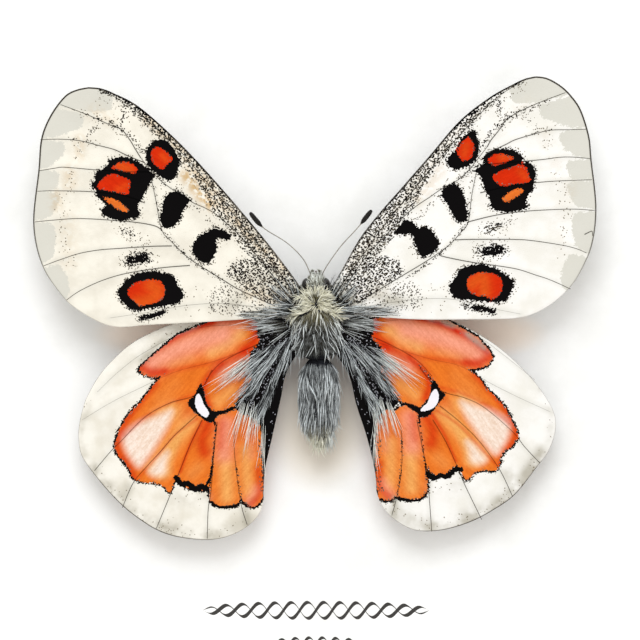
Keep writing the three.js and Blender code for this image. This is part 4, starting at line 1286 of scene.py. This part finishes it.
# The collar is light and cream but at its dark tufts, by the distance to the nearest of them
# as a share of its reach
def collarTone(roots):
    own = furTone["collar"]
    tufts = np.array(own["tufts"])
    near = (np.sqrt(((roots[:, None, :2] - tufts[None, :, :2]) ** 2).sum(2)) / tufts[:, 2]).min(1)
    clear = ease(near, *own["clear"])
    return raised(own["light"], clear), raised(own["cream"], clear), 0 * near


# The thorax is lighter at its sides and creamier towards the collar
def thoraxTone(roots):
    own, aside = furTone["thorax"], np.abs(roots[:, 0] - middleX)
    cream = raised(own["cream"], ease(roots[:, 1], *own["forward"]))
    return raised(own["light"], ease(aside, *own["aside"])), cream, 0 * aside


# The abdomen is lighter at its sides and creamier towards the tail
def abdomenTone(roots):
    own, aside = furTone["abdomen"], np.abs(roots[:, 0] - body["abdomen"]["x"])
    cream = raised(own["cream"], ease(-roots[:, 1], *own["back"]))
    return raised(own["light"], ease(aside, *own["aside"])), cream, 0 * aside


# The tail's tuft is cream, and greyer on its right
def tailTone(roots):
    own, x = furTone["tail"], roots[:, 0]
    return 1 + 0 * x, raised(own["cream"], ease(x, *own["right"])), 0 * x


# The abdomen's hairs close on its middle line as far as a spot, and part again behind it
def abdomenHeading(x, y):
    turning = parting["opening"] * ease(-y, *parting["back"]) + parting["closing"]
    return (x - parting["x"]) * turning, -1.0 - 0 * x


# The collar's hairs part to both sides, and forwards and back from its middle
def collarHeading(x, y):
    forwards = np.tanh((y - collarLine["partY"]) / collarLine["partReach"])
    return (x - middleX) * collarHair["spread"], collarLine["partShare"] * forwards


# Hairs that all run forwards or back and spread a little from a middle line
def spreading(look, along, middle=middleX):
    return lambda x, y: ((x - middle) * look["spread"], along + 0 * x)


coatBody("thoraxHair", body["thorax"], thoraxHair, spreading(thoraxHair, -1.0), thoraxTone,
         keep=lambda spots: ~onCollar(spots))
coatBody("collarHair", body["thorax"], collarHair, collarHeading, collarTone, keep=onCollar)
coatBody("flankHair", body["thorax"], flankHair, lambda x, y: (np.sign(x - middleX), -0.9 - 0 * x),
         evenTone(1.0, 0.12, 0.0))
coatBody("abdomenHair", body["abdomen"], abdomenHair, abdomenHeading, abdomenTone)
coatBody("tailHair", body["tail"], tailHair, spreading(tailHair, -1.0, body["tail"]["x"]), tailTone)
coatBody("headHair", body["head"], headHair, spreading(headHair, 0.8), evenTone(0.85, 0.4, 0.0))
coatBody("tuftHair", body["head"], tuftHair, spreading(tuftHair, 1.0), evenTone(1.0, 0.45, 0.0))
print("body hair made")


# Hairs lying on a wing inside an outline, spreading away from one spot like rays
def coatWing(name, wing, outline, origin, count, look, tone, seed):
    chance = np.random.default_rng(seed)
    edge = onBoard(outline)
    low, high = edge.min(0), edge.max(0)
    tries = low + (high - low) * chance.random((count * planting["wingTries"], 2))
    tries = tries[depthInside(tries, edge) > 0][:count]
    spots, tops = wingTops[wing]
    close = ((spots > low - planting["margin"]) & (spots < high + planting["margin"])).all(1)
    spots, tops = spots[close][::2], tops[close][::2]
    roots = np.concatenate([tries, tops[nearestOf(tries, spots)][:, None] + planting["above"]], 1)
    away = tries - onBoard(origin)
    away /= np.linalg.norm(away, axis=1, keepdims=True)
    headings = np.concatenate([away, np.zeros((len(away), 1))], 1)
    up = np.tile([0.0, 0.0, 1.0], (len(away), 1))
    return coat(name, roots, headings, up, look, tone, seed + 1)


rootHair = dict(anyHair, length=3.2, lift=0.18, droop=0.16, radius=0.031, perLock=5, lockTurn=0.28,
                stray=0.11, silver=0.3, under=(0.0, 0.36))
veilHair = dict(anyHair, length=4.8, lift=0.14, droop=0.13, radius=0.034, perLock=2, lockTurn=0.16,
                stray=0.06, silver=2.0, under=(0.7, 0.9), gather=0.3)
# Name, wing, outline and origin of the rays as read on the left, hairs, kind of hair, its
# lightness, cream and rosiness, and seed
wingHair = [
    ("silverFan", "hindWing", [(292, 336), (276, 343), (262, 349), (253, 355), (249, 368), (247, 382), (242, 392),
                               (249, 396), (258, 388), (266, 374), (276, 360), (290, 346)],
     (302, 318), 430, rootHair, (0.85, 0.0, 0.0), 61),
    ("lobe", "hindWing", [(292, 326), (280, 320), (266, 322), (262, 330), (266, 332), (276, 328), (288, 334)],
     (304, 322), 130, rootHair, (1.2, 0.12, 0.0), 71),
    ("innerFur", "hindWing", [(292, 346), (282, 356), (272, 376), (262, 396), (256, 408), (262, 418), (270, 402),
                              (276, 386), (282, 368), (291, 354)],
     (298, 316), 400, rootHair, (0.55, 0.0, 0.0), 81),
    ("veil1", "hindWing", [(256, 352), (246, 356), (240, 366), (240, 372), (250, 366), (258, 358)],
     (296, 322), 40, veilHair, (1.0, 0.0, 0.6), 101),
    ("veil2", "hindWing", [(240, 404), (250, 400), (262, 404), (264, 414), (254, 418), (242, 412)],
     (266, 330), 36, veilHair, (1.0, 0.0, 0.8), 111),
    ("veil3", "hindWing", [(262, 424), (260, 444), (263, 446), (266, 424)],
     (262, 340), 9, veilHair, (1.0, 0.0, 0.9), 121),
    ("foreHair1", "foreWing", [(296, 304), (276, 308), (252, 311), (246, 317), (262, 318), (296, 317)],
     (352, 309), 190, rootHair, (0.85, 0.05, 0.0), 141),
    ("foreHair2", "foreWing", [(303, 288), (292, 290), (280, 295), (274, 303), (288, 308), (303, 306)],
     (318, 330), 100, rootHair, (0.8, 0.05, 0.0), 151),
]
for side in ("Left", "Right"):
    for name, wing, outline, origin, count, look, tone, seed in wingHair:
        outline, origin = outlinesFor(wing, side.lower(), [outline, origin])
        coatWing(name + side, wing + side, outline, origin, count, look, evenTone(*tone), seed + (side == "Left"))
print("wing hair made")


feelerPath = {
    "left": [[-1.15, 5.6, 9.6], [-2.1, 7.6, 10.6], [-4.1, 9.6, 11.4], [-7, 11.45, 12.1], [-8.75, 13.4, 12.4]],
    "right": [[0.2, 5.6, 9.6], [0.95, 6.9, 10.6], [2.6, 9.2, 11.4], [4.7, 11.5, 12.1], [6.45, 13.7, 12.4]],
}
feeler = {
    "shaft": 0.06, "club": 0.31, "rings": 34, "ringSteps": 6, "sides": 14,
    "swell": (0.76, 0.86), "clubMiddle": 0.89, "clubHalf": 0.111, "clubBlunt": 3,
    "shaftRings": (0.82, 0.18), "clubRings": (0.96, 0.04), "tip": 0.006, "least": 0.002,
}


# A pale speckled shaft with darker grooves, turning black over the club
def feelerMaterial():
    finish, tree, shader = newFinish("feeler", 0.5, Specular_IOR_Level=0.15)
    spot = place(tree)
    speck = cloud(tree, spot, 5.0)
    pale = blend(tree, between(tree, speck, 0.35, 0.65), ink(170, 164, 150), ink(120, 114, 104))
    black = blend(tree, speck, ink(8, 7, 7), ink(34, 31, 28))
    club = between(tree, value(tree, "club"), 0.05, 0.4)
    ringed = between(tree, value(tree, "ring"), 0.5, 0.9)
    tone = blend(tree, club, blend(tree, times(tree, ringed, 0.6), pale, ink(60, 56, 50)), black)
    tree.links.new(tone, shader.inputs["Base Color"])
    bump(tree, shader, speck, 0.01)
    return finish


# A feeler: a shaft of little rings that swells near its end to a club, whose girth falls from
# its middle like the root of 1 less the cube of the distance
def makeFeeler(side, finish):
    shape = feeler
    steps = shape["rings"] * shape["ringSteps"]
    way = np.linspace(0, 1, steps)
    path = curveThrough(feelerPath[side], steps)
    away = np.abs(way - shape["clubMiddle"]) / shape["clubHalf"]
    club = ease(way, *shape["swell"]) * np.maximum(0, 1 - away ** shape["clubBlunt"]) ** 0.5
    ring = np.abs(np.sin(np.pi * shape["rings"] * way))
    swollen = (shape["club"] - shape["shaft"]) * club * raised(shape["clubRings"], ring)
    radius = shape["shaft"] * raised(shape["shaftRings"], ring) + swollen
    radius = radius * ease(1 - way, 0, shape["tip"]) + shape["least"]
    points, faces = rodAlong(path, radius, shape["sides"])
    values = {"club": np.concatenate([np.repeat(club, shape["sides"]), [club[0], club[-1]]]),
              "ring": np.concatenate([np.repeat(1 - ring, shape["sides"]), [0, 0]])}
    standsFor(makePiece("feeler" + side.title(), points, faces, finish, values), "antenna", "antenna_" + side)


feelerFinish = feelerMaterial()
for side in feelerPath:
    makeFeeler(side, feelerFinish)


# A glossy near black with small cells: lighter at each cell's middle, and raised there
def eyeMaterial():
    finish, tree, shader = newFinish("eye", 0.22)
    cells = add(tree, "TexVoronoi", {"Vector": place(tree), "Scale": 14.0})
    tone = blend(tree, between(tree, cells.outputs["Distance"], 0.1, 0.6), ink(40, 35, 33), ink(14, 12, 12))
    tree.links.new(tone, shader.inputs["Base Color"])
    bump(tree, shader, cells.outputs["Distance"], -0.02)
    return finish


# An eye: an upright egg, flatter from side to side. Its brow hairs keep behind a slanting line.
eye = {"radius": 0.85, "out": 1.12, "y": 4.42, "z": 9.0, "flat": 0.8,
       "browOut": 0.75, "browFront": 0.65, "browLine": -0.6}
browHair = dict(anyHair, count=420, seed=181, length=0.3, radius=0.042, perLock=6, lockTurn=0.6, stray=0.25,
                silver=0.35, under=(0.25, 0.6), skirt=0.0, stand=(0.2, 0.0))


# An eye and the short hairs on its inner, hinder side
def makeEye(side, sign, finish):
    size = {"x": body["head"]["x"] + sign * eye["out"], "front": eye["y"] + eye["radius"],
            "back": eye["y"] - eye["radius"], "wide": eye["radius"] * eye["flat"], "z": eye["z"],
            "up": eye["radius"], "down": eye["radius"], "blunt": 2.0}

    # Behind the brow's line, counted in the eye's own radii outwards and forwards
    def onBrow(spots):
        outwards = eye["browOut"] * sign * (spots[:, 0] - size["x"]) / size["wide"]
        return outwards + eye["browFront"] * (spots[:, 1] - eye["y"]) / eye["radius"] < eye["browLine"]

    standsFor(bodyPiece("eye" + side.title(), size, finish, 40, 48), "eye", "eye_" + side)
    coatBody("browHair" + side.title(), size, browHair, lambda x, y: (sign * 0.8 + 0 * x, 0.35 + 0 * x),
             evenTone(1.0, 0.4, 0.0), keep=onBrow, more=sign)


eyeFinish = eyeMaterial()
for side, sign in (("left", -1), ("right", 1)):
    makeEye(side, sign, eyeFinish)


horn, legSkin = plainMaterial("horn"), plainMaterial("legScales")

coil = {
    "y": 5.4, "z": 6.8, "outer": 0.78, "inner": 0.22, "turns": 2.25, "rootRadius": 0.1, "tipRadius": 0.05,
    "steps": 150, "sides": 10, "ripple": 0.08, "ripples": 190,
}


# The tongue, coiled like a watch spring in the middle plane under the head: its reach from the
# coil's middle shrinks evenly with the turn
def makeTongue(finish):
    way = np.linspace(0, 1, coil["steps"])
    angle = np.pi * (0.5 - 2 * coil["turns"] * way)
    reach = coil["outer"] + (coil["inner"] - coil["outer"]) * way
    path = np.stack([body["head"]["x"] + 0 * way, coil["y"] + reach * np.cos(angle),
                     coil["z"] + reach * np.sin(angle)], 1)
    girth = coil["rootRadius"] + (coil["tipRadius"] - coil["rootRadius"]) * way
    points, faces = rodAlong(path, girth * (1 + coil["ripple"] * np.sin(coil["ripples"] * way)), coil["sides"])
    standsFor(makePiece("tongueCoil", points, faces, finish), "mouthpart", "tongue")


makeTongue(horn)

palp = {
    "aside": 0.42, "path": [(0, 5.75, 8.2), (0.04, 6.0, 8.8), (0.02, 6.1, 9.4)],  # out, forward, up
    "steps": 30, "sides": 12, "radius": 0.26, "taper": 0.55, "hairs": 260, "hairsOut": 0.15, "seed": 171,
}
palpHair = dict(anyHair, length=0.45, lift=0.25, droop=0.25, radius=0.045, perLock=6, stray=0.25, silver=0.4,
                under=(0.2, 0.6))


# A palp: a short rod that tapers upwards, with hairs all round that run along it
def makePalp(side, sign, finish):
    x = body["head"]["x"] + sign * palp["aside"]
    steps, hairCount = palp["steps"], palp["hairs"]
    path = curveThrough([[x + sign * out, y, z] for out, y, z in palp["path"]], steps)
    radius = palp["radius"] * (1 - palp["taper"] * np.linspace(0, 1, steps))
    points, faces = rodAlong(path, radius, palp["sides"])
    standsFor(makePiece("palp" + side.title(), points, faces, finish), "head_fur", "palp_" + side)
    chance = np.random.default_rng(palp["seed"] + sign)
    step, angle = chance.integers(0, steps, hairCount), chance.uniform(0, 2 * np.pi, hairCount)
    level, upward = beside(path)
    out = level[step] * np.cos(angle)[:, None] + upward[step] * np.sin(angle)[:, None]
    along = np.gradient(path, axis=0)[step]
    along /= np.linalg.norm(along, axis=1, keepdims=True)
    coat("palpHair" + side.title(), path[step] + palp["hairsOut"] * out, along, out, palpHair,
         evenTone(1.0, 0.45, 0.0), palp["seed"] + 4 + sign)


for side, sign in (("left", -1), ("right", 1)):
    makePalp(side, sign, legSkin)

legPairs = {
    "front": {"hip": [0.85, 3.1], "knee": [1.9, 4.3], "ankle": [1.2, 1.9], "toe": [1.0, 0.4]},
    "middle": {"hip": [1.5, 1.0], "knee": [2.7, 1.7], "ankle": [2.2, -1.3], "toe": [1.8, -2.9]},
    "hind": {"hip": [0.75, -1.0], "knee": [1.4, 0.0], "ankle": [0.9, -3.6], "toe": [0.7, -5.6]},
}
legLevel = {"hip": 6.1, "knee": 5.85, "ankle": 5.5, "toe": 5.35}
leg = {
    "steps": 70, "sides": 10, "thigh": 0.17, "slimmer": 0.05, "knee": (0.3, 0.45), "ankle": (0.68, 0.74),
    "jointDepth": 0.12, "joints": 60, "jointsFrom": (0.7, 0.75), "tip": (0.25, 0.75), "tipAt": (0, 0.04),
}


# A leg: a rod with a thick thigh, a shin and a thin foot, each slimmer than the last by the
# same step. The foot's joints are waves of its radius, and its end is rounded off.
def makeLeg(side, sign, pair):
    spots = [[body["thorax"]["x"] + sign * out, y, legLevel[joint]] for joint, (out, y) in legPairs[pair].items()]
    path = curveThrough(spots, leg["steps"])
    way = np.linspace(0, 1, leg["steps"])
    radius = leg["thigh"] - leg["slimmer"] * ease(way, *leg["knee"]) - leg["slimmer"] * ease(way, *leg["ankle"])
    jointed = 1 + leg["jointDepth"] * np.cos(leg["joints"] * way) * ease(way, *leg["jointsFrom"])
    radius = radius * jointed * raised(leg["tip"], ease(1 - way, *leg["tipAt"]))
    points, faces = rodAlong(path, radius, leg["sides"])
    name = pair + "Leg" + side.title()
    standsFor(makePiece(name, points, faces, legSkin), "leg", pair + "_leg_" + side)


for pair in legPairs:
    makeLeg("left", -1, pair)
    makeLeg("right", 1, pair)
print("head parts and legs made")


card = {
    "white": (252, 252, 250), "mottle": (243, 243, 240), "ink": (66, 64, 62), "foam": (236, 234, 228),
    "lit": 0.89, "paper": 0.45, "printDepth": 0.02,
    # painted light and shade: shade is a painted warm shadow under the body, glow a painted warm light in the
    # notches
    "shade": (0.84, 0.77, 0.67), "shadeMiddle": (-0.2, -13.0), "shadeReach": (7.5, 10.0),
    "glow": (1.14, 1.0, 0.88), "glowMiddle": (20.5, -1.6), "glowReach": (9.0, 3.6),
    "pen": (0.35, 1.6),  # how wide the nib draws where a wave falls and where it rises
}
rules = [{"y": -36.6, "middle": -0.5, "half": 14.5, "wave": 1.0, "length": 4.1, "nib": 0.2},
         {"y": -41.0, "middle": -0.5, "half": 6.5, "wave": 0.95, "length": 3.4, "nib": 0.18}]


# White paper with a faint mottle over a foam core. Painted shadow makes it warmer and darker under
# the body, and painted warm light, as through the wings, lightens the two notches between them:
# each tint fades out with the square of the distance from its middle. Two printed rules stand
# where the caption was: each is two sine waves that twine, and their height tapers off to the ends.
def cardMaterial():
    finish, tree, shader = newFinish("whiteCard", 0.85, Specular_IOR_Level=0.2)
    spot = place(tree)
    mottle = cloud(tree, spot, 0.09, 5.0, 0.6)
    grain = cloud(tree, spot, 3.0, 4.0, 0.6)
    tone = blend(tree, between(tree, mottle, 0.42, 0.72), ink(*card["white"], card["lit"]),
                 ink(*card["mottle"], card["lit"]))
    apart = add(tree, "SeparateXYZ", {0: spot})
    x, y, z = apart.outputs[0], apart.outputs[1], apart.outputs[2]
    core = times(tree, maths(tree, "GREATER_THAN", z, card["paper"]),
                 maths(tree, "LESS_THAN", z, boardTop - card["paper"]))
    tone = blend(tree, core, tone, ink(*card["foam"]))
    # painted light and shade on the card: first the painted shadow under the body, then the painted warm light in
    # the notches
    for name, sideways in (("shade", x), ("glow", maths(tree, "ABSOLUTE", x))):
        squares = []
        for across, middle, reach in zip((sideways, y), card[name + "Middle"], card[name + "Reach"]):
            share = maths(tree, "DIVIDE", maths(tree, "SUBTRACT", across, middle), reach)
            squares.append(maths(tree, "POWER", maths(tree, "ABSOLUTE", share), 2.0))
        share = between(tree, plus(tree, *squares), 0.0, 1.0, 1.0, 0.0)
        tone = tinted(tree, share, tone, (*card[name], 1.0))
    onTop = maths(tree, "GREATER_THAN", z, boardTop - card["printDepth"])
    for rule in rules:
        along = maths(tree, "SUBTRACT", x, rule["middle"])
        share = maths(tree, "DIVIDE", along, rule["half"])
        taper = maths(tree, "SUBTRACT", 1.0, times(tree, share, share), clamp=True)
        turn = times(tree, along, 2 * math.pi / rule["length"])
        for sign in (-1, 1):
            swing = times(tree, maths(tree, "SINE", turn), sign * rule["wave"])
            slope = times(tree, maths(tree, "COSINE", turn), sign)
            line = plus(tree, rule["y"], times(tree, swing, maths(tree, "POWER", taper, 0.5)))
            pen = times(tree, between(tree, slope, -1.0, 1.0, *card["pen"]), rule["nib"])
            pen = times(tree, pen, between(tree, taper, 0.0, 0.3))
            printed = maths(tree, "LESS_THAN", maths(tree, "ABSOLUTE", maths(tree, "SUBTRACT", y, line)), pen)
            tone = blend(tree, times(tree, printed, onTop), tone, ink(*card["ink"]))
    tree.links.new(tone, shader.inputs["Base Color"])
    bump(tree, shader, plus(tree, grain, times(tree, mottle, 2.0)), 0.02, 0.5)
    return finish


# Gives a part of the frame a new material in place of its own
def repaint(node, finish):
    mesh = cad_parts[node].data
    mesh.materials.clear()
    mesh.materials.append(finish)

repaint("mounting_board", cardMaterial())
repaint("mounting_pin", plainMaterial("pinSteel"))
print("board and pin finished")


studio = {
    "floor": 1.2, "floorUnder": 0.02, "cameraHeight": 600.0, "field": 80.0, "wingPlane": 10.0,
    "sensor": 36.0, "clip": (0.01, 10.0),
    "key": {"aim": (0, 0, 8), "from": (-30, 350, 410), "size": 350, "power": 1.5, "tone": (0.96, 0.985, 1.0)},
    "air": {"tone": (1.0, 0.968, 0.92), "strength": 1.07},
}


half, under = studio["floor"] / 2 / mm, -studio["floorUnder"]
floorPoints = np.array([[-half, -half, under], [half, -half, under], [half, half, under], [-half, half, under]])
floorMesh = bpy.data.meshes.new("floor")
floorMesh.from_pydata((floorPoints * mm).tolist(), [], [(0, 1, 2, 3)])
floorMesh.materials.append(plainMaterial("studioFloor"))
floor = bpy.data.objects.new("floor", floorMesh)
bpy.context.scene.collection.objects.link(floor)


# Puts a light at its start and turns its own -Z along the way from there to the aim
def aimed(thing, start, aim):
    thing.location = Vector(start) * mm
    thing.rotation_mode = "QUATERNION"
    thing.rotation_quaternion = (Vector(aim) - Vector(start)).to_track_quat("-Z", "Y")
    bpy.context.scene.collection.objects.link(thing)


key = studio["key"]
keyLight = bpy.data.lights.new("keyLight", "AREA")
keyLight.shape = "DISK"
keyLight.size = key["size"] * mm
keyLight.energy = key["power"]
keyLight.color = key["tone"]
aimed(bpy.data.objects.new("keyLight", keyLight), key["from"], key["aim"])

air = bpy.data.worlds.new("studioAir")
air.use_nodes = True
sky = air.node_tree.nodes["Background"]
sky.inputs["Color"].default_value = (*studio["air"]["tone"], 1.0)
sky.inputs["Strength"].default_value = studio["air"]["strength"]
bpy.context.scene.world = air

eyePoint = bpy.data.cameras.new("camera")
eyePoint.sensor_width = studio["sensor"]
eyePoint.lens = studio["sensor"] * (studio["cameraHeight"] - studio["wingPlane"]) / studio["field"]
eyePoint.clip_start, eyePoint.clip_end = studio["clip"]
camera = bpy.data.objects.new("camera", eyePoint)
camera.location = (0, 0, studio["cameraHeight"] * mm)
bpy.context.scene.collection.objects.link(camera)
bpy.context.scene.camera = camera
bpy.context.scene.view_settings.view_transform = "Standard"
